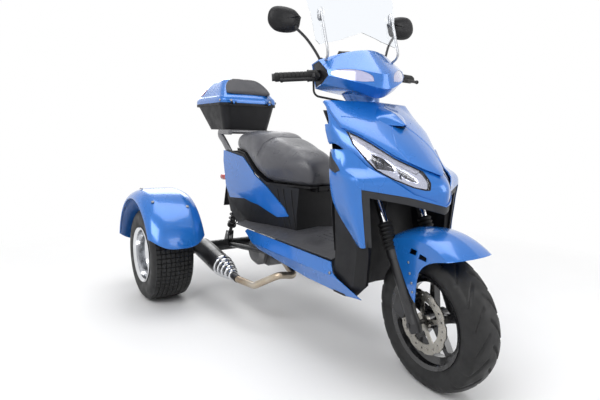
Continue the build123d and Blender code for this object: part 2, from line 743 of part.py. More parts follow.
def bar_plane(side, inboard):
    """Plane square to the bar end, counted inboard from its tip, with z outward."""
    tip = Vector(bar_end_x, side * bar_end_y, bar_end_z)
    out = (tip - Vector(bar_knee_x, side * bar_knee_y, bar_knee_z)).normalized()
    return Plane(origin=tip - out * inboard, z_dir=out)


with BuildPart() as grips:
    for side in (-1, 1):
        sleeve = [(bar_radius, 0), (grip_flange_radius, 0), (grip_flange_radius, grip_flange)]
        ring_pitch = (grip_length - grip_flange) / grip_ring_count
        for ring in range(grip_ring_count):
            start = grip_flange + ring * ring_pitch
            sleeve += [(grip_radius, start), (grip_radius, start + ring_pitch - grip_groove * 2),
                       (grip_radius - grip_groove, start + ring_pitch - grip_groove)]
        sleeve += [(grip_radius - grip_groove, grip_length), (bar_radius, grip_length)]
        turn(bar_plane(side, grip_length), sleeve)
finish(grips, "grips", steered=True)

# Hand controls: a switch case and a brake lever with its perch on each side
switch_length = 34.0
switch_radius = 21.0
lever_ahead = 24.0
lever_drop = 16.0
lever_root_ahead = 34.0
lever_radius = 6.0
lever_bend = 14.0
lever_ball_radius = 8.0
perch_radius = 11.0
lever_reach = 120.0

with BuildPart() as hand_controls:
    for side in (-1, 1):
        turn(bar_plane(side, grip_length + switch_length + touch_gap),
             [(bar_radius, 0), (switch_radius, 0), (switch_radius, switch_length),
              (bar_radius, switch_length)])
        case = bar_plane(side, grip_length + switch_length / 2)
        ahead = Vector(-case.z_dir.Y * side, case.z_dir.X * side, 0) * -1
        perch = case.origin + ahead * lever_root_ahead + Vector(0, 0, -lever_drop)
        rod(case.origin + ahead * (bar_radius + wall), perch, perch_radius)
        knee = perch + case.z_dir * lever_ahead + ahead * lever_ahead / 2
        tip = perch + case.z_dir * lever_reach + ahead * lever_ahead / 3
        tube([perch, knee, tip], lever_radius, lever_bend)
        with Locations(tip):
            Sphere(lever_ball_radius)
    clear_of(handlebar)
finish(hand_controls, "hand_controls", steered=True)

# Brake hose: from the right hand control into the neck, then down the fork to the caliper
hose_radius = 4.0
hose_bend = 26.0
hose_drop = 52.0
hose_neck = (24.0, -36.0, 304.0)
hose_head = (34.0, -44.0, 190.0)
hose_bridge_high = (60.0, -46.0, 44.0)
hose_bridge_low = (60.0, -46.0, -50.0)
hose_leg_high = (-4.0, -72.0, -158.0)
hose_leg_low = (-4.0, -72.0, -322.0)

with BuildPart() as brake_hose:
    hose_start = bar_plane(-1, grip_length + switch_length / 2).origin + Vector(0, 0, -switch_radius)
    caliper_top = Vector(caliper_centre.X, -disc_offset - caliper_half / 2,
                         caliper_centre.Z + caliper_depth / 2)
    route = [hose_start, hose_start + Vector(0, 0, -hose_drop)]
    route += [steer_point(*spot) for spot in (hose_neck, hose_head, hose_bridge_high, hose_bridge_low,
                                              hose_leg_high, hose_leg_low)]
    route += [caliper_top + Vector(0, 0, hose_drop), caliper_top]
    tube(route, hose_radius, hose_bend)
    clear_of(hand_controls, brake_caliper)
finish(brake_hose, "brake_hose", steered=True)

# Bar cowl: a creased shell round the bar, with a nose between two lamp openings and a round neck
cowl_set_back = 509.0
cowl_rear_x = wheelbase - cowl_set_back
cowl_length = 250.0
cowl_base_z = 985.0
cowl_height = 172.0
cowl_half = 172.0
cowl_wall = 4.0
cowl_centre_shares = [(0.10, 0.03), (0.80, -0.06), (1.0, 0.11), (0.985, 0.41), (0.55, 0.98), (0.14, 0.86)]
cowl_mid_shares = [(0.12, 0.10), (0.72, 0.10), (0.88, 0.24), (0.80, 0.52), (0.45, 0.93), (0.10, 0.82)]
cowl_end_shares = [(0.15, 0.20), (0.34, 0.28), (0.54, 0.44), (0.50, 0.56), (0.26, 0.80), (0.05, 0.74)]
cowl_mid_share = 0.5
neck_top_radius = 74.0
neck_low_radius = 58.0
neck_low_z = 952.0
neck_flange = 4.0
lamp_slot_shares = [(0.20, 0.24), (0.98, 0.44), (0.99, 0.54), (0.60, 0.56), (0.22, 0.42)]


def cowl_sections(inset):
    """Cowl outlines from the right end over the middle to the left end."""
    size = (cowl_length - inset * 2, cowl_height - inset * 2)
    corner = (cowl_rear_x + inset, cowl_base_z + inset)
    stations = [(1, cowl_end_shares), (cowl_mid_share, cowl_mid_shares), (0, cowl_centre_shares)]
    right = [(along(-cowl_half * share), place(corner, size, shares)) for share, shares in stations]
    left = [(along(cowl_half * share), place(corner, size, shares)) for share, shares in stations[1::-1]]
    return right + left


with BuildPart() as cowl_solid:
    skin(cowl_sections(0))
with BuildPart() as cowl_hollow:
    skin(cowl_sections(cowl_wall))
with BuildPart() as cowl_lamps:
    for side in (-1, 1):
        slot = [(side * y * cowl_half, cowl_base_z + z * cowl_height) for y, z in lamp_slot_shares]
        prism(across(cowl_rear_x + cowl_length / 2), slot, cowl_length)
    add(cowl_solid.part, mode=Mode.INTERSECT)
    clear_of(cowl_hollow)
finish(cowl_lamps, "cowl_lamps", steered=True)

with BuildPart() as bar_cowl:
    add(cowl_solid.part)
    with BuildSketch(Plane(origin=(steering_x(neck_low_z), 0, neck_low_z))) as neck_low:
        Circle(neck_low_radius)
    with BuildSketch(Plane(origin=(steering_x(cowl_base_z + neck_flange), 0,
                                   cowl_base_z + neck_flange))) as neck_high:
        Circle(neck_top_radius)
    loft(sections=[neck_low.sketch, neck_high.sketch], ruled=True)
    add(cowl_hollow.part, mode=Mode.SUBTRACT)
    with BuildSketch(Plane(origin=(steering_x(neck_low_z), 0, neck_low_z))) as bore_low:
        Circle(neck_low_radius - cowl_wall)
    with BuildSketch(Plane(origin=(steering_x(cowl_base_z + cowl_wall * 3), 0,
                                   cowl_base_z + cowl_wall * 3))) as bore_high:
        Circle(neck_top_radius - cowl_wall)
    loft(sections=[bore_low.sketch, bore_high.sketch], ruled=True, mode=Mode.SUBTRACT)
    for side in (-1, 1):
        case = bar_plane(side, grip_length + switch_length)
        rod(case.origin - case.z_dir * switch_length, case.origin + case.z_dir * switch_length * 2,
            switch_radius + touch_gap, mode=Mode.SUBTRACT)
    clear_of(cowl_lamps, handlebar, hand_controls, brake_hose)
finish(bar_cowl, "bar_cowl", steered=True)

# Instrument panel: a slim dial housing set in the rear face of the cowl
dial_shares = [(0.09, 0.50), (0.05, 0.82), (0.20, 1.02), (0.34, 0.96)]
dial_half = 74.0

with BuildPart() as instrument_panel:
    dial = place((cowl_rear_x, cowl_base_z), (cowl_length, cowl_height), dial_shares)
    prism(along(0), dial, dial_half, both=True)
    clear_of(cowl_solid)
finish(instrument_panel, "instrument_panel", steered=True)

# Mirrors: bent arms on the cowl top with faceted heads
mirror_base_set_back = 467.0
mirror_base_x = wheelbase - mirror_base_set_back
mirror_base_y = 146.0
mirror_base_z = 1108.0
mirror_knee_set_back = 493.0
mirror_knee_x = wheelbase - mirror_knee_set_back
mirror_knee_y = 190.0
mirror_knee_z = 1200.0
mirror_head_set_back = 509.0
mirror_head_x = wheelbase - mirror_head_set_back
mirror_head_y = 268.0
mirror_head_z = 1274.0
mirror_arm_radius = 5.0
mirror_boot_radius = 11.0
mirror_half_width = 68.0
mirror_half_height = 44.0
mirror_depth = 30.0
mirror_back_share = 0.55
mirror_shares = [(-1.0, 0.25), (-0.72, -0.86), (0.55, -1.0), (1.0, -0.35), (0.94, 0.55), (0.60, 1.0),
                 (-0.55, 0.86)]

with BuildPart() as mirrors:
    for side in (-1, 1):
        base = (mirror_base_x, side * mirror_base_y, mirror_base_z)
        head = (mirror_head_x, side * mirror_head_y, mirror_head_z)
        tube([base, (mirror_knee_x, side * mirror_knee_y, mirror_knee_z), head], mirror_arm_radius,
             mirror_half_height)
        back = (mirror_half_width * mirror_back_share, mirror_half_height * mirror_back_share)
        rim_points = [(side * y * mirror_half_width, z * mirror_half_height) for y, z in mirror_shares]
        back_points = [(side * y * back[0], z * back[1]) for y, z in mirror_shares]
        front_face = Plane(origin=(mirror_head_x + mirror_depth / 2, side * mirror_head_y, mirror_head_z),
                           x_dir=(0, 1, 0), z_dir=(1, 0, 0))
        rear_face = front_face.offset(-mirror_depth)
        skin([(front_face, back_points), (rear_face, rim_points)])
        rod(base, Vector(*base) + Vector(0, 0, mirror_boot_radius * 2), mirror_boot_radius)
    clear_of(bar_cowl, cowl_hollow)
finish(mirrors, "mirrors", steered=True)

# Windshield: a thin curved clear sheet, notched at its foot, held by two rods with oval pads
shield_base_z = 1176.0
shield_height = 274.0
shield_half = 206.0
shield_thick = 4.0
shield_bow = 42.0
shield_foot_set_back = 399.0
shield_foot_x = wheelbase - shield_foot_set_back
shield_lean = 64.0
shield_outline_shares = [(0.0, 0.17), (0.30, 0.10), (0.45, 0.06), (0.84, 0.0), (0.90, 0.06), (0.92, 0.40),
                         (1.0, 0.72), (0.94, 0.88), (0.66, 0.97), (0.0, 1.0)]

with BuildPart() as windshield:
    shield_sheets = []
    for z, x in [(shield_base_z, shield_foot_x),
                 (shield_base_z + shield_height, shield_foot_x - shield_lean)]:
        with BuildSketch(level(z)) as bow:
            with BuildLine():
                ThreePointArc((x - shield_bow, -shield_half), (x, 0), (x - shield_bow, shield_half))
                Line((x - shield_bow, shield_half), (x - shield_bow - shield_thick, shield_half))
                ThreePointArc((x - shield_bow - shield_thick, shield_half), (x - shield_thick, 0),
                              (x - shield_bow - shield_thick, -shield_half))
                Line((x - shield_bow - shield_thick, -shield_half), (x - shield_bow, -shield_half))
            make_face()
        shield_sheets.append(bow.sketch)
    loft(sections=shield_sheets, ruled=True)
    outline = [(y * shield_half, shield_base_z + z * shield_height) for y, z in shield_outline_shares]
    full = outline + [(-y, z) for y, z in outline[-2:0:-1]]
    prism(across(shield_foot_x - shield_lean - shield_bow - overrun), full,
          shield_lean + shield_bow + overrun * 2, mode=Mode.INTERSECT)
finish(windshield, "windshield", steered=True)

shield_rod_radius = 5.0
shield_rod_y = 160.0
shield_rod_foot_set_back = 459.0
shield_rod_foot_x = wheelbase - shield_rod_foot_set_back
shield_rod_foot_z = 1100.0
shield_rod_knee_set_back = 391.0
shield_rod_knee_x = wheelbase - shield_rod_knee_set_back
shield_rod_knee_z = 1137.0
shield_pad_z = 1284.0
shield_pad_length = 46.0
shield_pad_half = 12.0
shield_pad_thick = 5.0
shield_pad_set = 4.5

with BuildPart() as windshield_rods:
    rise = (shield_pad_z - shield_base_z) / shield_height
    bow_share = (shield_rod_y / shield_half) ** 2
    pad_x = shield_foot_x - shield_lean * rise - shield_bow * bow_share
    for side in (-1, 1):
        y = side * shield_rod_y
        tube([(shield_rod_foot_x, side * mirror_base_y, shield_rod_foot_z),
              (shield_rod_knee_x, y, shield_rod_knee_z),
              (pad_x + shield_rod_radius + shield_thick, y, shield_pad_z + shield_pad_length / 2)],
             shield_rod_radius, bar_weight_radius * 2)
        with BuildSketch(across(pad_x + shield_pad_set)) as pad:
            with Locations((y, shield_pad_z)):
                SlotOverall(shield_pad_length, shield_pad_half * 2, rotation=90)
        extrude(amount=shield_pad_thick + shield_rod_radius)
    clear_of(windshield, bar_cowl, cowl_hollow, mirrors)
finish(windshield_rods, "windshield_rods", steered=True)

# Front cover: the creased upper shield, lofted from the top edge down to the beak
cover_set_back = 409.0
cover_rear_x = wheelbase - cover_set_back
cover_length = 440.0
cover_base_z = 600.0
cover_height = 366.0
cover_half = 225.0
cover_wall = 4.0
cover_level_shares = [
    (0.96, [(0.02, -0.93), (0.075, -0.89), (0.125, -0.56), (0.17, -0.25), (0.195, 0.0)]),
    (0.70, [(0.14, -0.99), (0.22, -0.98), (0.34, -0.80), (0.455, -0.30), (0.475, 0.0)]),
    (0.45, [(0.22, -0.97), (0.32, -0.97), (0.53, -0.72), (0.70, -0.30), (0.735, 0.0)]),
    (0.22, [(0.30, -0.96), (0.38, -0.94), (0.66, -0.56), (0.88, -0.26), (0.95, 0.0)]),
    (0.03, [(0.36, -0.92), (0.46, -0.88), (0.76, -0.48), (0.90, -0.22), (0.965, 0.0)]),
]
cover_front_shares = [(-0.0, 1.01), (-0.89, 0.93), (-1.02, 0.60), (-0.90, 0.48), (-0.76, 0.335),
                      (-0.62, 0.25),
                      (-0.40, 0.135), (-0.18, 0.074), (0.0, 0.05)]
lamp_front_shares = [(-0.89, 0.68), (-0.38, 0.372), (-0.22, 0.194), (-0.44, 0.227), (-0.67, 0.32),
                     (-0.84, 0.55)]
lamp_depth = 26.0


hood_lift = 8.0
hood_front_shares = [(-0.0, 1.2), (-0.95, 1.2), (-0.93, 0.705), (-0.38, 0.385), (0.0, 0.306)]

# Scoop: a wedge down the middle of the hood, whose tip overhangs it; each band gives shares of
# the cover's length, half width and of its height for the low edge, the shoulders and the ridge
scoop_band_shares = [(0.17, 0.10, 0.88, 0.95, 0.955), (0.36, 0.29, 0.78, 0.805, 0.875),
                     (0.525, 0.03, 0.755, 0.765, 0.776)]


def cover_sections(thick, lift=0.0):
    """Bands of the cover with a wall of thick, whose outer face is raised by lift."""
    bands = []
    for z, half in cover_level_shares:
        line = whole(place((cover_rear_x, 0), (cover_length, cover_half), half))
        if lift:
            line = strip(line, -lift)[len(line):][::-1]
        bands.append((level(cover_base_z + z * cover_height), strip(line, thick)))
    return bands


def cover_front(half_shares):
    """Closed outline seen from ahead, from the right-hand half."""
    points = whole(place((cover_base_z, 0), (cover_height, cover_half), [(z, y) for y, z in half_shares]))
    return [(y, z) for z, y in points]


cover_outline = cover_front(cover_front_shares)
hood_outline = cover_front(hood_front_shares)
cover_mid = across(cover_rear_x)

with BuildPart() as lamp_prisms:
    for side in (-1, 1):
        lamp = [(-side * y * cover_half, cover_base_z + z * cover_height) for y, z in lamp_front_shares]
        prism(cover_mid, lamp, cover_length + overrun)

with BuildPart() as headlamps:
    skin(cover_sections(lamp_depth))
    add(lamp_prisms.part, mode=Mode.INTERSECT)
finish(headlamps, "headlamps")

with BuildPart() as cover_core:
    skin([(plane, points[len(points) // 2:]) for plane, points in cover_sections(cover_wall)])

with BuildPart() as scoop:
    bands = []
    for x, y, low, side, ridge in scoop_band_shares:
        outline = [(-y, low), (-y, side), (0, ridge), (y, side), (y, low)]
        bands.append((across(cover_rear_x + x * cover_length),
                      place((0, cover_base_z), (cover_half, cover_height), outline)))
    skin(bands)
    clear_of(cover_core)

with BuildPart() as hood:
    skin(cover_sections(cover_wall + hood_lift, hood_lift))
    prism(cover_mid, hood_outline, cover_length + overrun, mode=Mode.INTERSECT)

with BuildPart() as front_cover:
    skin(cover_sections(cover_wall))
    prism(cover_mid, cover_outline, cover_length + overrun, mode=Mode.INTERSECT)
    prism(cover_mid, hood_outline, cover_length + overrun, mode=Mode.SUBTRACT)
    add(hood.part)
    add(scoop.part)
    clear_of(headlamps)
finish(front_cover, "front_cover")

# Shield flares: the blue lower shield that runs from the beak out to the two side fins
flare_set_back = 289.0
flare_rear_x = wheelbase - flare_set_back
flare_length = 315.0
flare_base_z = 460.0
flare_height = 330.0
flare_half = 262.0
flare_wall = 4.0
flare_level_shares = [
    (1.0, [(0.02, -0.94), (0.10, -0.96), (0.16, -0.90), (0.42, -0.50), (0.90, 0.0)]),
    (0.83, [(0.03, -0.96), (0.13, -1.0), (0.26, -0.95), (0.56, -0.50), (0.97, 0.0)]),
    (0.70, [(0.05, -0.97), (0.37, -0.99), (0.49, -0.93), (0.69, -0.48), (0.99, 0.0)]),
    (0.45, [(0.10, -0.94), (0.42, -0.95), (0.51, -0.88), (0.70, -0.46), (0.97, 0.0)]),
    (0.04, [(0.42, -0.83), (0.50, -0.85), (0.52, -0.79), (0.70, -0.44), (0.92, 0.0)]),
]
flare_window_shares = [(-0.91, 0.625), (-0.40, 0.555), (0.0, 0.465)]
flare_window_base_share = -0.2
flare_window_low_share = 0.76
flare_tip_shares = [(-0.13, -0.13), (0.42, -0.13), (0.0, 0.55), (-0.13, 0.6)]

with BuildPart() as shield_flares:
    bands = []
    for z, half in flare_level_shares:
        line = whole(place((flare_rear_x, 0), (flare_length, flare_half), half))
        bands.append((level(flare_base_z + z * flare_height), strip(line, flare_wall)))
    skin(bands)
    window = [(y * flare_half, flare_base_z + z * flare_height) for y, z in flare_window_shares]
    window += [(-y, z) for y, z in window[-2::-1]]
    low_z = flare_base_z + flare_window_base_share * flare_height
    window += [(flare_window_low_share * flare_half, low_z), (-flare_window_low_share * flare_half, low_z)]
    prism(across(flare_rear_x - overrun), window, flare_length + overrun * 2, mode=Mode.SUBTRACT)
    prism(cover_mid, cover_outline, cover_length + overrun, mode=Mode.SUBTRACT)
    tip = place((flare_rear_x, flare_base_z), (flare_length, flare_height), flare_tip_shares)
    prism(along(0), tip, flare_half + overrun, mode=Mode.SUBTRACT, both=True)
    clear_of(front_cover, headlamps)
finish(shield_flares, "shield_flares")

# Inner shield: the plain panel that faces the rider's knees, with a bulge over the steering head
inner_top_z = 925.0
inner_low_z = 432.0
inner_wall = 3.5
inner_level_shares = [
    (1.0, [(0.0, -0.97), (0.18, -0.66), (0.0, -0.44), (-0.12, 0.0)]),
    (0.62, [(0.62, -0.99), (0.62, -0.70), (0.10, -0.52), (-0.02, 0.0)]),
    (0.30, [(0.92, -0.98), (0.92, -0.74), (0.22, -0.56), (0.04, 0.0)]),
    (0.0, [(1.0, -0.97), (0.98, -0.74), (0.30, -0.56), (0.10, 0.0)]),
]
inner_set_back = 414.0
inner_rear_x = wheelbase - inner_set_back
inner_length = 130.0
inner_half = 218.0

with BuildPart() as inner_shield:
    bands = []
    for z, half in inner_level_shares:
        line = whole(place((inner_rear_x, 0), (inner_length, inner_half), half))
        bands.append((level(inner_low_z + z * (inner_top_z - inner_low_z)), strip(line, -inner_wall)))
    skin(bands)
    clear_of(front_cover, headlamps, shield_flares, frame)
finish(inner_shield, "inner_shield")

# Wheel well: the dark lower shield behind the front wheel, down to the belly
well_set_back = 287.0
well_rear_x = wheelbase - well_set_back
well_length = 200.0
well_top_z = 668.0
well_low_z = 282.0
well_half = 248.0
well_wall = 4.0
well_level_shares = [
    (1.0, [(0.06, -0.92), (0.62, -0.93), (0.74, -0.86), (0.72, -0.78), (-0.14, -0.66), (-0.26, 0.0)]),
    (0.42, [(0.06, -0.86), (0.62, -0.86), (0.80, -0.80), (0.76, -0.74), (0.10, -0.70), (0.04, 0.0)]),
    (0.14, [(0.02, -0.85), (0.56, -0.85), (0.74, -0.78), (0.70, -0.72), (0.08, -0.66), (0.0, 0.0)]),
    (0.0, [(0.0, -0.84), (0.30, -0.84), (0.45, -0.78), (0.42, -0.72), (0.02, -0.60), (-0.06, 0.0)]),
]

with BuildPart() as wheel_well:
    bands = []
    for z, half in well_level_shares:
        line = whole(place((well_rear_x, 0), (well_length, well_half), half))
        bands.append((level(well_low_z + z * (well_top_z - well_low_z)), strip(line, well_wall)))
    skin(bands)
    clear_of(shield_flares, front_cover, inner_shield, frame)
finish(wheel_well, "wheel_well")

# Floorboard: ribbed tread plate with a low hump, over a belly tray that hides the rails
floor_rear_x = 280.0
floor_front_set_back = 289.0
floor_front_x = wheelbase - floor_front_set_back
floor_edge_z = 401.0
floor_hump = 28.0
floor_half = 221.0
floor_step_half = 128.0
floor_wall = 4.0
floor_rib_count = 7
floor_rib_height = 3.0
floor_rib_width = 7.0
floor_rib_set_back = 549.0
floor_rib_rear_x = wheelbase - floor_rib_set_back
tray_low_z = 318.0
tray_rear_x = 606.0
tray_half = 150.0
tray_top_share = 0.45

with BuildPart() as floorboard:
    deck = [(-floor_half, floor_edge_z), (-floor_step_half, floor_edge_z + floor_hump * 2 / 3),
            (0, floor_edge_z + floor_hump)]
    deck += [(-y, z) for y, z in deck[-2::-1]]
    prism(across(floor_rear_x), strip(deck, floor_wall), floor_front_x - floor_rear_x)
    rib_pitch = floor_step_half * 2 / (floor_rib_count + 1)
    for rib in range(floor_rib_count):
        y = (rib + 1) * rib_pitch - floor_step_half
        root_z = floor_edge_z + floor_hump - abs(y) / floor_step_half * floor_hump / 3 - floor_wall / 2
        slab((floor_rib_rear_x, y - floor_rib_width / 2, root_z),
             (floor_front_x - overrun, y + floor_rib_width / 2, root_z + floor_rib_height + floor_wall / 2))
    tray_top_z = floor_edge_z + floor_hump * tray_top_share
    tray = [(-tray_half, tray_top_z), (-tray_half, tray_low_z), (tray_half, tray_low_z),
            (tray_half, tray_top_z)]
    prism(across(tray_rear_x), strip(tray, -floor_wall), floor_front_x - tray_rear_x)
    clear_of(frame, inner_shield, wheel_well, exhaust_pipe, rear_subframe)
finish(floorboard, "floorboard")

# Side skirts: the long blue blades under the floor edges
skirt_rear_x = 375.0
skirt_front_set_back = 134.0
skirt_length = wheelbase - skirt_front_set_back - skirt_rear_x
skirt_base_z = 284.0
skirt_height = 106.0
skirt_outer_y = 232.0
skirt_wall = 4.0
skirt_side_shares = [(0.0, 0.90), (0.02, 1.02), (0.80, 0.98), (0.83, 0.66), (1.0, 0.10), (0.90, 0.0),
                     (0.62, 0.02), (0.17, 0.37)]
skirt_cross_shares = [(-0.93, 1.05), (-1.0, 0.55), (-0.90, -0.05)]

with BuildPart() as side_skirts:
    cross = place((0, skirt_base_z), (skirt_outer_y, skirt_height), skirt_cross_shares)
    prism(across(skirt_rear_x - overrun), strip(cross, -skirt_wall), skirt_length + overrun * 2)
    prism(along(0), place((skirt_rear_x, skirt_base_z), (skirt_length, skirt_height), skirt_side_shares),
          skirt_outer_y + overrun, mode=Mode.INTERSECT, both=True)
    mirror(about=Plane.XZ)
    clear_of(floorboard, wheel_well, shield_flares)
finish(side_skirts, "side_skirts")

# Luggage rail: two legs from the side panels, a bend, and a deck under the luggage box
rack_radius = 11.0
rack_spread = 128.0
rack_bend_x = -118.0
rack_rail_z = 847.0
rack_front_x = 24.0
rack_bend = 17.0
rack_bar_x = -60.0

with BuildPart() as luggage_rail:
    for side in (-1, 1):
        y = side * rack_spread
        tube([(rack_stub_x, y, rack_stub_z), (rack_bend_x, y, rack_rail_z), (rack_front_x, y, rack_rail_z)],
             rack_radius, rack_bend)
    for x in (rack_bar_x, rack_front_x - rack_radius):
        rod((x, -rack_spread, rack_rail_z), (x, rack_spread, rack_rail_z), rack_radius)
    clear_of(frame)
finish(luggage_rail, "luggage_rail")

# Luggage box: an open tapered tub with a rim, hinged in front to a faceted lid
box_front_x = 12.0
box_length = 385.0
box_half = 172.0
box_seam_z = 1000.0
box_wall = 3.5
box_corner = 44.0
box_rim = 5.0
box_rim_drop = 14.0
box_foot_front_x = -16.0
box_foot_length = 236.0
box_foot_half = 135.0
lid_gap = 0.5
lid_top_z = 1140.0
lid_top_front_x = -100.0
lid_top_length = 180.0
lid_top_half = 104.0
lid_brow_height = 34.0
lid_brow_inset = 8.0
hinge_ahead = 9.0
hinge_radius = 6.0
hinge_pin_radius = 2.5
hinge_half = 17.0
hinge_y = 108.0

box_base_z = rack_rail_z + rack_radius
hinge_x = box_front_x + hinge_ahead
hinge_z = box_seam_z


def rounded(z, front_x, length, half, corner):
    """Level outline with round corners, counted back from its front edge."""
    with BuildSketch(Plane(origin=(front_x - length / 2, 0, z))) as flat:
        RectangleRounded(length, half * 2, corner)
    return flat.sketch


def tub(levels, mode=Mode.ADD):
    """Ruled loft through level outlines."""
    loft(sections=[rounded(*each) for each in levels], ruled=True, mode=mode)


with BuildPart() as top_box:
    inner_corner = box_corner - box_wall
    tub([(box_base_z, box_foot_front_x, box_foot_length, box_foot_half, box_corner),
         (box_seam_z, box_front_x - box_rim, box_length - box_rim * 2, box_half - box_rim, box_corner)])
    tub([(box_seam_z - box_rim_drop, box_front_x, box_length, box_half, box_corner),
         (box_seam_z, box_front_x, box_length, box_half, box_corner)])
    tub([(box_base_z + box_wall, box_foot_front_x - box_wall, box_foot_length - box_wall * 2,
          box_foot_half - box_wall, inner_corner),
         (box_seam_z, box_front_x - box_rim - box_wall, box_length - (box_rim + box_wall) * 2,
          box_half - box_rim - box_wall, inner_corner)], mode=Mode.SUBTRACT)
    for side in (-1, 1):
        for end in (-1, 1):
            root = side * hinge_y + end * hinge_half * 2 / 3
            rod((hinge_x, root - hinge_half / 4, hinge_z), (hinge_x, root + hinge_half / 4, hinge_z),
                hinge_radius)
            slab((box_front_x - box_wall, root - hinge_half / 4, box_seam_z - hinge_radius),
                 (hinge_x, root + hinge_half / 4, box_seam_z))
        rod((hinge_x, side * hinge_y - hinge_half, hinge_z),
            (hinge_x, side * hinge_y + hinge_half, hinge_z),
            hinge_pin_radius)
    clear_of(luggage_rail)
finish(top_box, "top_box")

with BuildPart() as box_lid:
    lid_base_z = box_seam_z + lid_gap
    tub([(lid_base_z, box_front_x, box_length, box_half, box_corner),
         (lid_base_z + lid_brow_height, box_front_x - lid_brow_inset, box_length - lid_brow_inset * 2,
          box_half - lid_brow_inset, box_corner),
         (lid_top_z, lid_top_front_x, lid_top_length, lid_top_half, box_corner)])
    tub([(lid_base_z, box_front_x - box_wall, box_length - box_wall * 2, box_half - box_wall, inner_corner),
         (lid_base_z + lid_brow_height - box_wall, box_front_x - lid_brow_inset - box_wall,
          box_length - (lid_brow_inset + box_wall) * 2, box_half - lid_brow_inset - box_wall, inner_corner),
         (lid_top_z - box_wall, lid_top_front_x - box_wall, lid_top_length - box_wall * 2,
          lid_top_half - box_wall,
          inner_corner)], mode=Mode.SUBTRACT)
    for side in (-1, 1):
        y = side * hinge_y
        rod((hinge_x, y - hinge_half / 3, hinge_z), (hinge_x, y + hinge_half / 3, hinge_z), hinge_radius)
        slab((box_front_x - box_wall, y - hinge_half / 3, lid_base_z),
             (hinge_x, y + hinge_half / 3, lid_base_z + hinge_radius - lid_gap))
        rod((hinge_x, y - hinge_half, hinge_z), (hinge_x, y + hinge_half, hinge_z),
            hinge_pin_radius + running_gap, mode=Mode.SUBTRACT)
finish(box_lid, "box_lid")

# Lid pad: the backrest cushion on the front slope of the lid
pad_low_share = 0.12
pad_high_share = 0.95
pad_half_low = 138.0
pad_half_high = 92.0
pad_thick = 12.0

slope_low = Vector(box_front_x - lid_brow_inset, 0, box_seam_z + lid_gap + lid_brow_height)
slope_high = Vector(lid_top_front_x, 0, lid_top_z)
slope = slope_high - slope_low
slope_plane = Plane(origin=slope_low, x_dir=(0, 1, 0), z_dir=Vector(0, 1, 0).cross(slope))
with BuildPart() as lid_pad:
    pad = [(-pad_half_low, slope.length * pad_low_share), (pad_half_low, slope.length * pad_low_share),
           (pad_half_high, slope.length * pad_high_share), (-pad_half_high, slope.length * pad_high_share)]
    prism(slope_plane, pad, pad_thick)
    fillet(lid_pad.edges().filter_by(Axis(slope_low, slope_plane.z_dir)), pad_thick)
finish(lid_pad, "lid_pad")

# Seat pedestal: the dark body under the seat, from the knee panel back to the tail, open on top
pedestal_rear_x = -10.0
pedestal_length = 672.0
pedestal_base_z = 372.0
pedestal_height = 380.0
pedestal_wall = 3.5
pedestal_half = 170.0
pedestal_side_shares = [(0.0, 0.98), (0.03, 0.80), (0.17, 0.18), (0.32, 0.0), (0.60, 0.06), (0.99, 0.06),
                        (0.98, 0.30), (1.0, 0.615)]
seat_line_shares = [(0.062, 1.0), (0.335, 0.955), (0.54, 0.715), (0.68, 0.62), (1.04, 0.615)]
pedestal_cross_shares = [(-0.84, 1.05), (-1.0, 0.35), (-0.95, -0.12)]
pedestal_nose_half = 100.0
pedestal_taper_share = 0.46
bay_front_x = 300.0
bay_top_z = 640.0
bay_half = 150.0
seat_pin_ahead = 24.0
seat_pin_drop = 9.0
seat_pin_radius = 3.5
seat_ear_radius = 7.0
seat_ear_y = 34.0
seat_ear_thick = 8.0


def pedestal_solid(side_line, inset):
    """Solid between a side view, the cross view and the plan, set in by a wall."""
    cross_half = place((0, pedestal_base_z), (pedestal_half - inset, pedestal_height),
                       pedestal_cross_shares)
    taper_x = pedestal_rear_x + pedestal_length * pedestal_taper_share
    front_x = pedestal_rear_x + pedestal_length + overrun
    plan = [(front_x, inset - pedestal_nose_half), (taper_x, inset - pedestal_half),
            (pedestal_rear_x - overrun, inset - pedestal_half)]
    prism(along(0), side_line, pedestal_half, both=True)
    prism(across(pedestal_rear_x - overrun), cross_half + [(-y, z) for y, z in cross_half[::-1]],
          pedestal_length + overrun * 3, mode=Mode.INTERSECT)
    prism(level(pedestal_base_z - overrun * 2), plan + [(x, -y) for x, y in plan[::-1]],
          pedestal_height + overrun * 3, mode=Mode.INTERSECT)


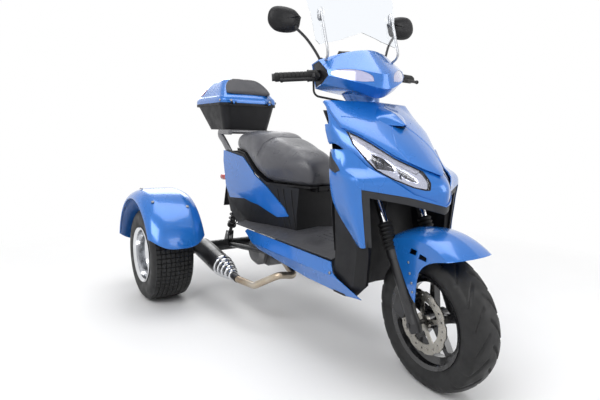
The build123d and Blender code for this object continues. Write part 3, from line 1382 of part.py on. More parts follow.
pedestal_corner = (pedestal_rear_x, pedestal_base_z)
pedestal_size = (pedestal_length, pedestal_height)
seat_line = place(pedestal_corner, pedestal_size, seat_line_shares)
pedestal_low = place(pedestal_corner, pedestal_size, pedestal_side_shares)
pedestal_view = pedestal_low + seat_line[-2::-1]
ear_half = seat_ear_thick / 2
seat_pin_x = pedestal_rear_x + pedestal_length + seat_pin_ahead
seat_pin_z = seat_line[-1][1] - seat_pin_drop
with BuildPart() as pedestal_hollow:
    wall_line = strip(pedestal_low, -pedestal_wall)[len(pedestal_low):]
    rear_top, front_top = wall_line[-1], wall_line[0]
    lift = pedestal_base_z + pedestal_height + overrun
    pedestal_solid(wall_line + [(rear_top[0], lift), (front_top[0], lift)], pedestal_wall)
with BuildPart() as seat_pedestal:
    pedestal_solid(pedestal_view, 0)
    clear_of(pedestal_hollow)
    slab((pedestal_rear_x - overrun, -bay_half, pedestal_base_z - overrun),
         (bay_front_x, bay_half, bay_top_z),
         mode=Mode.SUBTRACT)
    for side in (-1, 1):
        rod((seat_pin_x, side * seat_ear_y - ear_half, seat_pin_z),
            (seat_pin_x, side * seat_ear_y + ear_half, seat_pin_z), seat_ear_radius)
        slab((pedestal_rear_x + pedestal_length - overrun, side * seat_ear_y - ear_half,
              seat_pin_z - seat_ear_radius),
             (seat_pin_x, side * seat_ear_y + ear_half, seat_pin_z + seat_ear_radius))
    rod((seat_pin_x, -seat_ear_y, seat_pin_z), (seat_pin_x, seat_ear_y, seat_pin_z), seat_pin_radius)
    clear_of(frame, floorboard, shock_absorbers, engine, luggage_rail, rear_subframe)
finish(seat_pedestal, "seat_pedestal")

# Rear panels: the blue blades that lie on the pedestal's sides
panel_thick = 5.0
panel_side_shares = [(-0.01, 0.99), (0.005, 0.84), (0.09, 0.52), (0.175, 0.355), (0.42, 0.39),
                     (0.60, 0.345),
                     (0.80, 0.24), (0.91, 0.275), (0.87, 0.36), (0.68, 0.59), (0.335, 0.92)]

seat_room = seat_line + [(seat_line[-1][0], lift), (seat_line[0][0], lift)]
core_rear_x = pedestal_rear_x - overrun * 2
core_front_x = pedestal_rear_x + pedestal_length + overrun * 2
core_base_z = pedestal_base_z - overrun * 2

with BuildPart() as panel_core:
    pedestal_solid([(core_rear_x, core_base_z), (core_front_x, core_base_z), (core_front_x, lift),
                    (core_rear_x, lift)], 0)

with BuildPart() as rear_panels:
    pedestal_solid(place(pedestal_corner, pedestal_size, panel_side_shares), -panel_thick)
    clear_of(panel_core, luggage_rail, frame)
    prism(along(0), seat_room, pedestal_half + overrun, mode=Mode.SUBTRACT, both=True)
finish(rear_panels, "rear_panels")

# Storage bin: an open bucket hung between the frame rails under the seat
bin_rear_x = 350.0
bin_front_x = 610.0
bin_base_z = 440.0
bin_top_z = 586.0
bin_half = 82.0
bin_wall = 3.0
bin_draft = 10.0
bin_corner = 20.0
bin_flange = 14.0

with BuildPart() as bin_shelf:
    slab((bin_rear_x - bin_flange, -pedestal_half, bin_top_z - bin_wall),
         (seat_pin_x, pedestal_half, bin_top_z))
    add(pedestal_hollow.part, mode=Mode.INTERSECT)
with BuildPart() as storage_bin:
    bin_length = bin_front_x - bin_rear_x
    tub([(bin_base_z, bin_front_x - bin_draft, bin_length - bin_draft * 2, bin_half - bin_draft,
          bin_corner),
         (bin_top_z, bin_front_x, bin_length, bin_half, bin_corner)])
    add(bin_shelf.part)
    tub([(bin_base_z + bin_wall, bin_front_x - bin_draft - bin_wall,
          bin_length - (bin_draft + bin_wall) * 2,
          bin_half - bin_draft - bin_wall, bin_corner - bin_wall),
         (bin_top_z, bin_front_x - bin_wall, bin_length - bin_wall * 2, bin_half - bin_wall,
          bin_corner - bin_wall)],
        mode=Mode.SUBTRACT)
    clear_of(frame, seat_pedestal)
finish(storage_bin, "storage_bin")

# Tail lamp with its two indicators on short stalks, across the rear of the pedestal
lamp_top_z = 742.0
lamp_low_z = 676.0
lamp_half = 96.0
lamp_depth_x = 26.0
lamp_taper = 18.0
indicator_y = 132.0
indicator_z = 600.0
indicator_radius = 17.0
indicator_length = 44.0
indicator_x = -40.0
stalk_radius = 6.0
stalk_end_x = 60.0

with BuildPart() as tail_lamp:
    face_x = pedestal_rear_x
    skin([(across(face_x), [(-lamp_half, lamp_top_z), (-lamp_half + lamp_taper, lamp_low_z),
                            (lamp_half - lamp_taper, lamp_low_z), (lamp_half, lamp_top_z)]),
          (across(face_x - lamp_depth_x), [(-lamp_half + lamp_taper, lamp_top_z - lamp_taper / 2),
                                           (-lamp_half + lamp_taper * 2, lamp_low_z + lamp_taper / 2),
                                           (lamp_half - lamp_taper * 2, lamp_low_z + lamp_taper / 2),
                                           (lamp_half - lamp_taper, lamp_top_z - lamp_taper / 2)])])
    for side in (-1, 1):
        start = Vector(indicator_x, side * indicator_y, indicator_z)
        turn(Plane(origin=start, x_dir=(0, 1, 0), z_dir=(-1, 0, 0)),
             [(0, -indicator_length / 2), (indicator_radius * 2 / 3, -indicator_length / 2),
              (indicator_radius, 0),
              (indicator_radius, indicator_length / 2), (0, indicator_length / 2)])
        rod(start, (stalk_end_x, side * (pedestal_half - stalk_radius * 2), indicator_z), stalk_radius)
    clear_of(seat_pedestal, rear_panels, pedestal_hollow)
finish(tail_lamp, "tail_lamp")

# Plate bracket: a bare black flap that hangs behind the tail on two arms
bracket_half = 62.0
bracket_thick = 4.0
bracket_top_x = -60.0
bracket_top_z = 640.0
bracket_knee_x = -170.0
bracket_knee_z = 545.0
bracket_low_x = -205.0
bracket_low_z = 415.0

with BuildPart() as plate_bracket:
    flap = [(pedestal_rear_x + wall, lamp_low_z), (bracket_top_x, bracket_top_z),
            (bracket_knee_x, bracket_knee_z),
            (bracket_low_x, bracket_low_z)]
    prism(along(0), strip(flap, bracket_thick), bracket_half, both=True)
    clear_of(seat_pedestal, tail_lamp, rear_panels)
finish(plate_bracket, "plate_bracket")

# Rear fenders: crowned blue arcs over the rear tyres, with a flange that the stays carry
fender_outer_y = 643.0
fender_rear_angle = 177.0
fender_arc = 158.0
fender_edge_radius = 284.0
fender_crown = 27.0
fender_shoulder_share = 0.32

with BuildPart() as rear_fenders:
    edge = radians(fender_rear_angle)
    fender_plane = Plane(origin=(0, 0, axle_z), x_dir=(cos(edge), 0, sin(edge)), z_dir=(0, 1, 0))
    width = fender_outer_y - fender_inner_y
    shoulder = width * fender_shoulder_share
    crown = [(fender_edge_radius, fender_outer_y), (fender_radius, fender_outer_y - wall * 4),
             (fender_radius + fender_crown, fender_outer_y - shoulder),
             (fender_radius + fender_crown, fender_inner_y + shoulder),
             (fender_radius, fender_inner_y + wall * 2), (fender_flange_radius, fender_inner_y)]
    turn(fender_plane, strip(crown, wall), arc=fender_arc)
    mirror(about=Plane.XZ)
    clear_of(rear_subframe)
finish(rear_fenders, "rear_fenders")

# Seat: a hard pan hinged at the nose, and a one-piece stepped cushion on it
seat_half = 162.0
seat_base_z = 600.0
seat_height = 252.0
pan_thick = 9.0
pan_margin = 10.0
pan_lug_half = 24.0
seat_top_shares = [(1.0, 0.24), (0.965, 0.49), (0.89, 0.645), (0.78, 0.72), (0.58, 0.88), (0.37, 0.99),
                   (0.25, 1.0),
                   (0.13, 0.97), (0.0, 0.82)]
seat_plan_shares = [(-0.01, -0.58), (0.14, -0.88), (0.42, -1.0), (0.68, -0.98), (0.87, -0.74),
                    (1.01, -0.42)]
seat_rear_x = seat_line[0][0]
seat_length = seat_line[-1][0] - seat_rear_x


def seat_plan(margin):
    """Cuts the part being made to the seat's outline from above."""
    half_plan = place((seat_rear_x, 0), (seat_length, seat_half - margin), seat_plan_shares)
    prism(level(seat_base_z - overrun), half_plan + [(x, -y) for x, y in half_plan[::-1]],
          seat_height + overrun * 2, mode=Mode.INTERSECT)


raised_line = [(x, z + touch_gap) for x, z in seat_line]
with BuildPart() as seat_pan:
    prism(along(0), strip(raised_line, -pan_thick), seat_half, both=True)
    seat_plan(pan_margin)
    lug = [(seat_pin_x - seat_ear_radius, seat_line[-1][1] + pan_thick),
           (seat_pin_x - seat_ear_radius, seat_pin_z),
           (seat_pin_x + seat_ear_radius, seat_pin_z), (seat_pin_x + seat_ear_radius,
                                                        seat_line[-1][1] + pan_thick)]
    prism(along(0), lug, pan_lug_half, both=True)
    rod((seat_pin_x, -pan_lug_half, seat_pin_z), (seat_pin_x, pan_lug_half, seat_pin_z), seat_ear_radius)
    rod((seat_pin_x, -seat_ear_y, seat_pin_z), (seat_pin_x, seat_ear_y, seat_pin_z),
        seat_pin_radius + running_gap,
        mode=Mode.SUBTRACT)
finish(seat_pan, "seat_pan")

with BuildPart() as seat_cushion:
    top_line = place((seat_rear_x, seat_base_z), (seat_length, seat_height), seat_top_shares)
    prism(along(0), raised_line + top_line, seat_half, both=True)
    seat_plan(0)
    clear_of(seat_pan)
finish(seat_cushion, "seat_cushion")

# Export: steered pieces are turned about the steering axis, and the origin moves under the middle
steer_axis = Axis(steer_point(0, 0, 0), steering_dir)
rest_pose = {}
for label, (solid, steered) in finished.items():
    rest_pose[label] = solid.rotate(steer_axis, -turned_right) if steered else solid
rear_end = min(solid.bounding_box().min.X for solid in rest_pose.values())
front_end = max(solid.bounding_box().max.X for solid in rest_pose.values())
origin_x = (rear_end + front_end) / 2
os.makedirs("parts", exist_ok=True)
for label, solid in rest_pose.items():
    moved = solid.translate((-origin_x, 0, 0))
    moved.label = label
    export_step(moved, f"parts/{label}.step")
print(f"origin {origin_x:.4f} mm ahead of the rear axle")
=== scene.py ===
import json
import math

import bmesh
import bpy
import numpy as np
from mathutils import Matrix, Vector
from mathutils.bvhtree import BVHTree


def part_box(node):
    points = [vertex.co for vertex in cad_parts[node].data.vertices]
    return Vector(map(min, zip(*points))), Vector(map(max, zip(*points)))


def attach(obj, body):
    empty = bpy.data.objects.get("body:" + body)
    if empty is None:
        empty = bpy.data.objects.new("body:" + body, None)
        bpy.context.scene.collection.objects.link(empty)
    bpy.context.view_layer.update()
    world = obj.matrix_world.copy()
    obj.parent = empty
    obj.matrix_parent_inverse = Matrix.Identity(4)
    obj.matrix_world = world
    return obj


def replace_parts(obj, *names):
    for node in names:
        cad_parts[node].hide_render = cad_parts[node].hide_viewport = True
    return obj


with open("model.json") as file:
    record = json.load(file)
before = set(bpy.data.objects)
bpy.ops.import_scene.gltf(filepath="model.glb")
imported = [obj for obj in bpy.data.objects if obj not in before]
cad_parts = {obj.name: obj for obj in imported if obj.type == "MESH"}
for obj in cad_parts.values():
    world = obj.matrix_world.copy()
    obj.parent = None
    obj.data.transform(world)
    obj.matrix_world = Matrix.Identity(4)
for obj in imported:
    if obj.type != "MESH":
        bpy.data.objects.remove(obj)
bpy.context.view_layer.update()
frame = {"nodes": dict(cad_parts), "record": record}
nodes = frame["nodes"]

# Frames: the modelling frame has x ahead of the rear axle and the fork straight, in metres
axle_low, axle_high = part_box("rear_tyre_right")
ORIGIN = -(axle_low.x + axle_high.x) / 2
RAKE = math.radians(27.0)
STEER_AXIS = Vector((-math.sin(RAKE), 0, math.cos(RAKE)))
WHEELBASE = 1.339
TRAIL = 0.085
YOKE_Z = 0.672
STEER_FOOT = Vector((WHEELBASE + TRAIL - YOKE_Z * math.tan(RAKE), 0, YOKE_Z))
PARKED_TURN = math.radians(-7.3)
SHIFT = Matrix.Translation((-ORIGIN, 0, 0))
TURNED = SHIFT @ Matrix.Translation(STEER_FOOT) @ Matrix.Rotation(PARKED_TURN, 4, STEER_AXIS) \
    @ Matrix.Translation(-STEER_FOOT)
STEERED = ("steering", "front_wheel")

# Sizes in millimetres that several parts share
MM = 0.001
ORIGIN_X = ORIGIN * 1000
FRONT_HUB = (1339, 0, 236.5)
REAR_RADIUS = 229.5
REAR_TYRE_Y = 507.5
FENDER_Y = 508
SIDES = ((-1, "right"), (1, "left"))


def at(body):
    """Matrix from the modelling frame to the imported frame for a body."""
    return TURNED if body in STEERED else SHIFT


def put(name, data):
    """A new object in the scene."""
    o = bpy.data.objects.new(name, data)
    bpy.context.scene.collection.objects.link(o)
    return o


# Materials, kept in M under their names
M = {}


def new_material(name):
    m = bpy.data.materials.new(name)
    m.use_nodes = True
    M[name] = m
    return m.node_tree, m.node_tree.nodes["Principled BSDF"]


def link(tree, a, b):
    tree.links.new(a, b)


def add_node(tree, kind, operation=None):
    node = tree.nodes.new("ShaderNode" + kind)
    if operation:
        node.operation = operation
    return node


def noise(tree, scale, detail=4.0, kind="TexNoise"):
    n = add_node(tree, kind)
    n.inputs["Scale"].default_value = scale
    n.inputs["Detail"].default_value = detail
    n.inputs["Roughness"].default_value = 0.55
    link(tree, add_node(tree, "TexCoord").outputs["Object"], n.inputs["Vector"])
    return n


def ramp(tree, source, stops):
    r = add_node(tree, "ValToRGB")
    els = r.color_ramp.elements
    while len(els) < len(stops):
        els.new(0.5)
    for e, (p, c) in zip(els, stops):
        e.position = p
        e.color = (*c, 1)
    link(tree, source, r.inputs["Fac"])
    return r


def remap(tree, source, a, b, c, d):
    r = add_node(tree, "MapRange")
    r.inputs["From Min"].default_value = a
    r.inputs["From Max"].default_value = b
    r.inputs["To Min"].default_value = c
    r.inputs["To Max"].default_value = d
    link(tree, source, r.inputs["Value"])
    return r.outputs["Result"]


def shade(color, k):
    return tuple(min(1.0, c * k) for c in color)


def surface(name, color, rough=0.5, metallic=0.0, coat=0.0, coat_rough=0.03, vary=(6.0, 0.12),
            rough_vary=(18.0, 0.12), grain=None, fine=None, specular=0.5, sheen=0.0):
    """A finished surface: colour and roughness drift, and one or two scales of bump."""
    tree, s = new_material(name)
    s.inputs["Metallic"].default_value = metallic
    s.inputs["Specular IOR Level"].default_value = specular
    s.inputs["Coat Weight"].default_value = coat
    s.inputs["Coat Roughness"].default_value = coat_rough
    s.inputs["Sheen Weight"].default_value = sheen
    s.inputs["Sheen Roughness"].default_value = 0.4
    n = noise(tree, vary[0])
    tones = [(0.25, shade(color, 1 - vary[1])), (0.75, shade(color, 1 + vary[1]))]
    link(tree, ramp(tree, n.outputs["Fac"], tones).outputs["Color"], s.inputs["Base Color"])
    nr = noise(tree, rough_vary[0], 3.0)
    link(tree, remap(tree, nr.outputs["Fac"], 0.3, 0.7, max(0.02, rough - rough_vary[1]),
                     min(1.0, rough + rough_vary[1])), s.inputs["Roughness"])
    previous = None
    for scale, distance, kind in filter(None, (grain, fine)):
        if kind == "cells":
            height = noise(tree, scale, kind="TexVoronoi").outputs["Distance"]
        else:
            height = noise(tree, scale, 3.0).outputs["Fac"]
        bump = add_node(tree, "Bump")
        bump.inputs["Strength"].default_value = 1.0
        bump.inputs["Distance"].default_value = distance
        link(tree, height, bump.inputs["Height"])
        if previous:
            link(tree, previous, bump.inputs["Normal"])
        previous = bump.outputs["Normal"]
    if previous:
        link(tree, previous, s.inputs["Normal"])


BLUE = (0.010, 0.150, 0.530)
surface("blue_paint", BLUE, 0.26, 0.25, 0.8, 0.06, (3.0, 0.05), (9.0, 0.03), (900.0, 0.00002, "noise"))
surface("black_plastic", (0.008, 0.008, 0.0095), 0.46, specular=0.28, vary=(7.0, 0.2),
        grain=(700.0, 0.00012, "cells"), fine=(40.0, 0.0001, "noise"))
surface("grey_plastic", (0.052, 0.053, 0.060), 0.48, vary=(6.0, 0.12), grain=(650.0, 0.00012, "cells"),
        fine=(30.0, 0.0001, "noise"))
surface("rubber", (0.009, 0.009, 0.0095), 0.55, specular=0.35, vary=(9.0, 0.2),
        grain=(300.0, 0.0001, "noise"))
surface("tyre", (0.011, 0.011, 0.0115), 0.55, specular=0.4, vary=(12.0, 0.25), rough_vary=(25.0, 0.15),
        grain=(260.0, 0.0002, "noise"), fine=(40.0, 0.0003, "noise"))
surface("chrome", (0.80, 0.81, 0.83), 0.06, 1.0, vary=(5.0, 0.03), rough_vary=(30.0, 0.03))
surface("polished_alloy", (0.70, 0.71, 0.73), 0.16, 1.0, vary=(8.0, 0.05), rough_vary=(40.0, 0.06),
        grain=(400.0, 0.00003, "noise"))
surface("black_rim", (0.015, 0.015, 0.017), 0.25, 0.2, 0.7, 0.06, (6.0, 0.1))
surface("black_steel", (0.018, 0.018, 0.020), 0.38, 0.3, 0.3, 0.2, (8.0, 0.15),
        grain=(250.0, 0.00008, "noise"))
surface("grey_steel", (0.11, 0.11, 0.12), 0.4, 0.5, 0.2, 0.2, (8.0, 0.12), grain=(200.0, 0.00006, "noise"))
surface("engine_alloy", (0.20, 0.20, 0.205), 0.45, 0.8, vary=(14.0, 0.2), grain=(180.0, 0.0003, "noise"))
surface("steel", (0.42, 0.40, 0.36), 0.28, 1.0, vary=(10.0, 0.1), rough_vary=(60.0, 0.1))
surface("seat_vinyl", (0.050, 0.051, 0.062), 0.34, 0.0, 0.35, 0.30, vary=(5.0, 0.1),
        grain=(420.0, 0.0004, "cells"), fine=(60.0, 0.0002, "noise"), sheen=0.15)
surface("grey_pad", (0.070, 0.070, 0.078), 0.7, vary=(9.0, 0.15), grain=(380.0, 0.0007, "cells"))
surface("red_lamp", (0.45, 0.012, 0.015), 0.12, 0.0, 1.0, 0.03, (10.0, 0.1), grain=(160.0, 0.0004, "cells"))
surface("lamp_dark", (0.03, 0.03, 0.035), 0.3, 0.3, 0.6, 0.05, (9.0, 0.1))
surface("lamp_silver", (0.62, 0.63, 0.67), 0.16, 1.0, vary=(9.0, 0.05))
surface("mirror_glass", (0.85, 0.87, 0.88), 0.03, 1.0, vary=(4.0, 0.01), rough_vary=(8.0, 0.01))
surface("bolt", (0.30, 0.30, 0.31), 0.35, 0.9, vary=(30.0, 0.15))
surface("lamp_blade", (0.52, 0.52, 0.55), 0.3, 0.2, 0.8, 0.05, (30.0, 0.12), grain=(500.0, 0.0003, "noise"))
surface("lens_dark", (0.10, 0.11, 0.13), 0.05, 0.4, 1.0, 0.02, (9.0, 0.05))
surface("lilac_lens", (0.46, 0.46, 0.66), 0.12, 0.1, 1.0, 0.03, (12.0, 0.06))
surface("band_plastic", (0.016, 0.017, 0.020), 0.5, vary=(6.0, 0.15), grain=(600.0, 0.00012, "cells"))
surface("rod_silver", (0.42, 0.43, 0.45), 0.3, 0.6, 0.3, 0.1, (8.0, 0.1))
surface("rail_grey", (0.17, 0.17, 0.18), 0.36, 0.6, 0.3, 0.2, (6.0, 0.15), grain=(200.0, 0.00006, "noise"))


def heated_steel():
    """Header steel: straw and bronze heat tints mixed with plain steel in random patches."""
    tree, s = new_material("heated_steel")
    s.inputs["Metallic"].default_value = 1.0
    n = noise(tree, 11.0, 5.0)
    r = ramp(tree, n.outputs["Fac"], [(0.30, (0.30, 0.22, 0.15)), (0.5, (0.46, 0.39, 0.30)),
                                      (0.70, (0.55, 0.51, 0.45))])
    link(tree, r.outputs["Color"], s.inputs["Base Color"])
    fine = noise(tree, 45.0, 4.0)
    link(tree, remap(tree, fine.outputs["Fac"], 0.3, 0.7, 0.28, 0.5), s.inputs["Roughness"])
    b = add_node(tree, "Bump")
    b.inputs["Distance"].default_value = 0.0002
    link(tree, fine.outputs["Fac"], b.inputs["Height"])
    link(tree, b.outputs["Normal"], s.inputs["Normal"])


def clear(name, tint, rough):
    """Clear plastic with a faint drift in its polish."""
    tree, s = new_material(name)
    s.inputs["Base Color"].default_value = (*tint, 1)
    s.inputs["Transmission Weight"].default_value = 1.0
    s.inputs["IOR"].default_value = 1.45
    n = noise(tree, 25.0, 3.0)
    link(tree, remap(tree, n.outputs["Fac"], 0.3, 0.7, rough * 0.6, rough * 1.5), s.inputs["Roughness"])


heated_steel()
clear("clear_screen", (0.93, 0.96, 1.0), 0.02)
clear("clear_lamp", (0.90, 0.91, 0.98), 0.03)


def paint(obj, key):
    obj.data.materials.clear()
    obj.data.materials.append(M[key])


NODE_MATERIAL = {item["node"]: item["material_slot"] for item in frame["record"]["subparts"]}
for node_name, node in nodes.items():
    paint(node, NODE_MATERIAL[node_name])
BODY_OF = {name: body for body, names in frame["record"]["behaviour"]["bodies"].items() for name in names}


# Geometry helpers. Points are in millimetres in the modelling frame; meshes are in metres
def curve_through(points, steps=8, corners=()):
    """A smooth line through the points, with a corner left at each index in corners."""
    points = [np.array(p, float) for p in points]
    cuts = [0, *sorted(corners), len(points) - 1]
    out = []
    for a, b in zip(cuts, cuts[1:]):
        run = points[a:b + 1]
        t = [0.0]
        for p, q in zip(run, run[1:]):
            t.append(t[-1] + max(1e-6, float(np.linalg.norm(q - p)) ** 0.5))
        slopes = []
        for i in range(len(run)):
            if i == 0:
                slopes.append((run[1] - run[0]) / (t[1] - t[0]))
            elif i == len(run) - 1:
                slopes.append((run[-1] - run[-2]) / (t[-1] - t[-2]))
            else:
                d0 = (run[i] - run[i - 1]) / (t[i] - t[i - 1])
                d1 = (run[i + 1] - run[i]) / (t[i + 1] - t[i])
                h0, h1 = t[i] - t[i - 1], t[i + 1] - t[i]
                slopes.append((d0 * h1 + d1 * h0) / (h0 + h1))
        for i in range(len(run) - 1):
            h = t[i + 1] - t[i]
            for k in range(steps):
                s = k / steps
                out.append((2 * s ** 3 - 3 * s ** 2 + 1) * run[i] + (s ** 3 - 2 * s ** 2 + s) * h * slopes[i]
                           + (3 * s ** 2 - 2 * s ** 3) * run[i + 1] + (s ** 3 - s ** 2) * h * slopes[i + 1])
    out.append(points[-1])
    return np.array(out)


def grid_through(rows, steps, column_corners=()):
    """A smooth surface through rows of points, as an array of shape rows by columns by 3."""
    wide = [curve_through(row, steps[1], column_corners) for row in rows]
    columns = [curve_through([row[j] for row in wide], steps[0]) for j in range(len(wide[0]))]
    return np.array(columns).transpose(1, 0, 2)


def grid_normals(grid):
    """Unit normals of a surface grid."""
    du = np.gradient(grid, axis=0)
    dv = np.gradient(grid, axis=1)
    n = np.cross(du, dv)
    return n / np.maximum(np.linalg.norm(n, axis=2, keepdims=True), 1e-9)


def outward(grid, centre):
    """The same surface grid, turned so that its normals point away from centre."""
    away = ((grid - np.array(centre, float)) * grid_normals(grid)).sum()
    return grid if away > 0 else grid[::-1]


def whole(half):
    """Both sides of a half line of (x, y, z) points that ends on the middle plane."""
    return [tuple(p) for p in half] + [(x, -y, z) for x, y, z in reversed(half[:-1])]


def share_grid(levels, corner, size, steps, centre, column_corners=()):
    """Surface through level lines given in shares of a size, counted from a corner (x, z)."""
    rows = [whole([(corner[0] + s * size[0], y * size[1], corner[1] + z * size[2]) for s, y in half])
            for z, half in levels]
    return outward(grid_through(rows, steps, column_corners=column_corners), centre)


def front_flat(shares, corner, size):
    """Outline seen from ahead, from shares of a half width and a height."""
    return [(y * size[1], corner[1] + z * size[2]) for y, z in shares]


def grid_faces(shape, closed=False):
    """The quads of a surface grid, which is closed both ways or open."""
    r, c = shape[:2]
    return [(i * c + j, i * c + (j + 1) % c, (i + 1) % r * c + (j + 1) % c, (i + 1) % r * c + j)
            for i in range(r if closed else r - 1) for j in range(c if closed else c - 1)]


def add_mesh(name, verts, faces, material=None):
    """A new mesh object from points in metres in the modelling frame."""
    mesh = bpy.data.meshes.new(name)
    mesh.from_pydata([tuple(v) for v in verts], [], [tuple(f) for f in faces])
    if material:
        mesh.materials.append(M[material])
    mesh.shade_smooth()
    return put(name, mesh)


def settle(o, body, angle=32.0):
    """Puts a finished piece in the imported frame, shades it and lets it ride on its body."""
    o.data.transform(at(body) @ o.matrix_world)
    o.matrix_world = Matrix.Identity(4)
    o.data.shade_smooth()
    o.data.set_sharp_from_angle(angle=math.radians(angle))
    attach(o, body)
    return o


def clean_up(mesh):
    """Welds points and makes the normals point outward."""
    b = bmesh.new()
    b.from_mesh(mesh)
    bmesh.ops.remove_doubles(b, verts=b.verts, dist=1e-6)
    bmesh.ops.recalc_face_normals(b, faces=b.faces)
    b.to_mesh(mesh)
    b.free()


def bake(o):
    """Applies all modifiers."""
    graph = bpy.context.evaluated_depsgraph_get()
    new = bpy.data.meshes.new_from_object(o.evaluated_get(graph))
    old = o.data
    o.modifiers.clear()
    o.data = new
    bpy.data.meshes.remove(old)
    return o


def shell(name, grid, thick, material, lift=0.0):
    """A closed wall whose outer face is the surface grid raised by lift, thick millimetres deep."""
    n = grid_normals(grid)
    outer = (grid + n * lift) * MM
    inner = (grid + n * (lift - thick)) * MM
    r, c = grid.shape[:2]
    verts = np.concatenate([outer.reshape(-1, 3), inner.reshape(-1, 3)])
    half = r * c
    faces = []
    for quad in grid_faces(grid.shape):
        faces += [quad, tuple(half + quad[k] for k in (0, 3, 2, 1))]
    rim = [i * c for i in range(r)] + [(r - 1) * c + j for j in range(1, c)] \
        + [i * c + c - 1 for i in range(r - 2, -1, -1)] + [j for j in range(c - 2, 0, -1)]
    for a, b in zip(rim, rim[1:] + rim[:1]):
        faces.append((a, b, half + b, half + a))
    o = add_mesh(name, verts, faces, material)
    clean_up(o.data)
    return o


def closed_mesh(name, grid, material):
    """A mesh over a surface grid that is closed both ways."""
    o = add_mesh(name, grid.reshape(-1, 3) * MM, grid_faces(grid.shape, closed=True), material)
    clean_up(o.data)
    return o


def prism(outline, axis, low=-3000.0, high=3000.0, name="cutter", material=None):
    """A straight block on a flat outline, along x, y or z."""
    place = {"x": lambda u, v, w: (w, u, v), "y": lambda u, v, w: (u, w, v),
             "z": lambda u, v, w: (u, v, w)}[axis]
    count = len(outline)
    verts = [Vector(place(u, v, w)) * MM for w in (low, high) for u, v in outline]
    faces = [tuple(range(count)), tuple(range(2 * count - 1, count - 1, -1))]
    for i in range(count):
        j = (i + 1) % count
        faces.append((i, j, count + j, count + i))
    o = add_mesh(name, verts, faces, material)
    clean_up(o.data)
    return o


def trim(o, outline, axis, keep=True, low=-3000.0, high=3000.0):
    """Keeps, or cuts away, what lies inside a flat outline."""
    cutter = prism(outline, axis, low, high)
    m = o.modifiers.new("trim", "BOOLEAN")
    m.operation = "INTERSECT" if keep else "DIFFERENCE"
    m.solver = "EXACT"
    m.object = cutter
    bake(o)
    bpy.data.objects.remove(cutter)
    return o


def bevel(o, width, angle, segments):
    """Rounds the edges that are sharper than an angle."""
    m = o.modifiers.new("round", "BEVEL")
    m.width = width * MM
    m.segments = segments
    m.limit_method = "ANGLE"
    m.angle_limit = math.radians(angle)
    m.use_clamp_overlap = True
    return bake(o)


def round_edges(o, width=1.0, angle=40, segments=2):
    """Welds a piece and rounds its hard edges."""
    clean_up(o.data)
    return bevel(o, width, angle, segments)


def lathe(profile, centre, steps, start=0.0, arc=360.0, axis="y"):
    """Surface grid swept about an axis through centre, from (radius, along) points."""
    place = {"x": lambda r, s, a: (s, r * math.cos(a), r * math.sin(a)),
             "y": lambda r, s, a: (r * math.cos(a), s, r * math.sin(a)),
             "z": lambda r, s, a: (r * math.cos(a), r * math.sin(a), s)}[axis]
    rows = []
    for k in range(steps + 1):
        a = math.radians(start + arc * k / steps)
        rows.append([place(radius, along, a) for radius, along in profile])
    return np.array(rows) + np.array(centre, float)


def spun(name, profile, centre, material, steps=64, axis="y"):
    """A closed turned piece from a closed (radius, along) outline."""
    return closed_mesh(name, lathe(profile, centre, steps, axis=axis)[:-1], material)


def flat(points, size, corner=(0.0, 0.0)):
    """Outline points from shares of a size, counted from a corner."""
    return [(corner[0] + u * size[0], corner[1] + v * size[1]) for u, v in points]


def joined(name, pieces):
    """Joins meshes into one piece."""
    verts, faces, mats, index = [], [], [], []
    for o in pieces:
        base = len(verts)
        verts += [tuple(o.matrix_world @ v.co) for v in o.data.vertices]
        for m in o.data.materials:
            if m not in mats:
                mats.append(m)
        for p in o.data.polygons:
            faces.append(tuple(base + i for i in p.vertices))
            index.append(mats.index(o.data.materials[p.material_index]) if o.data.materials else 0)
        bpy.data.objects.remove(o)
    mesh = bpy.data.meshes.new(name)
    mesh.from_pydata(verts, [], faces)
    for m in mats:
        mesh.materials.append(m)
    mesh.polygons.foreach_set("material_index", index)
    mesh.update()
    mesh.shade_smooth()
    return put(name, mesh)


def dress(node, width, material=None):
    """A part with its edges rounded and shaded smooth, in the place of its node."""
    mesh = nodes[node].data.copy()
    o = put(node + "_finished", mesh)
    b = bmesh.new()
    b.from_mesh(mesh)
    bmesh.ops.remove_doubles(b, verts=b.verts, dist=2e-5)
    bmesh.ops.dissolve_limit(b, angle_limit=math.radians(0.8), verts=b.verts, edges=b.edges)
    b.to_mesh(mesh)
    b.free()
    bevel(o, width, 24.0, 2)
    o.data.shade_smooth()
    o.data.set_sharp_from_angle(angle=math.radians(50.0))
    w = o.modifiers.new("normals", "WEIGHTED_NORMAL")
    w.keep_sharp = True
    bake(o)
    paint(o, material or NODE_MATERIAL[node])
    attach(o, BODY_OF[node])
    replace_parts(o, node)
    return o


def turned_piece(name, profile, start, end, material, steps=40):
    """A turned piece from (radius, along) points, with its axis from start toward end."""
    start, end = Vector(start), Vector(end)
    o = spun(name, profile, (0, 0, 0), material, steps, "z")
    turn = (end - start).to_track_quat("Z", "Y").to_matrix().to_4x4()
    o.data.transform(Matrix.Translation(start * MM) @ turn)
    return o


def bolt(place, towards, radius=6.0, height=3.5):
    """A domed screw head on a point, facing a direction."""
    place, towards = Vector(place), Vector(towards)
    dome = [(0.1, -1.0), (radius, -1.0), (radius, height * 0.4), (radius * 0.8, height * 0.85),
            (radius * 0.42, height), (radius * 0.36, height * 0.55), (0.1, height * 0.55)]
    return turned_piece("bolt", dome, place, place + towards, "bolt", 16)


def hits(tree, rays, lift, shift=0.0):
    """Points where (start, direction) rays meet a surface that lies shift behind, raised by lift."""
    ahead = Vector((shift, 0, 0))
    points = []
    for start, direction in rays:
        hit, normal, _, _ = tree.ray_cast((Vector(start) - ahead) * MM, Vector(direction).normalized())
        if hit is not None:
            points.append(tuple((hit + normal * lift * MM) / MM + ahead))
    return points


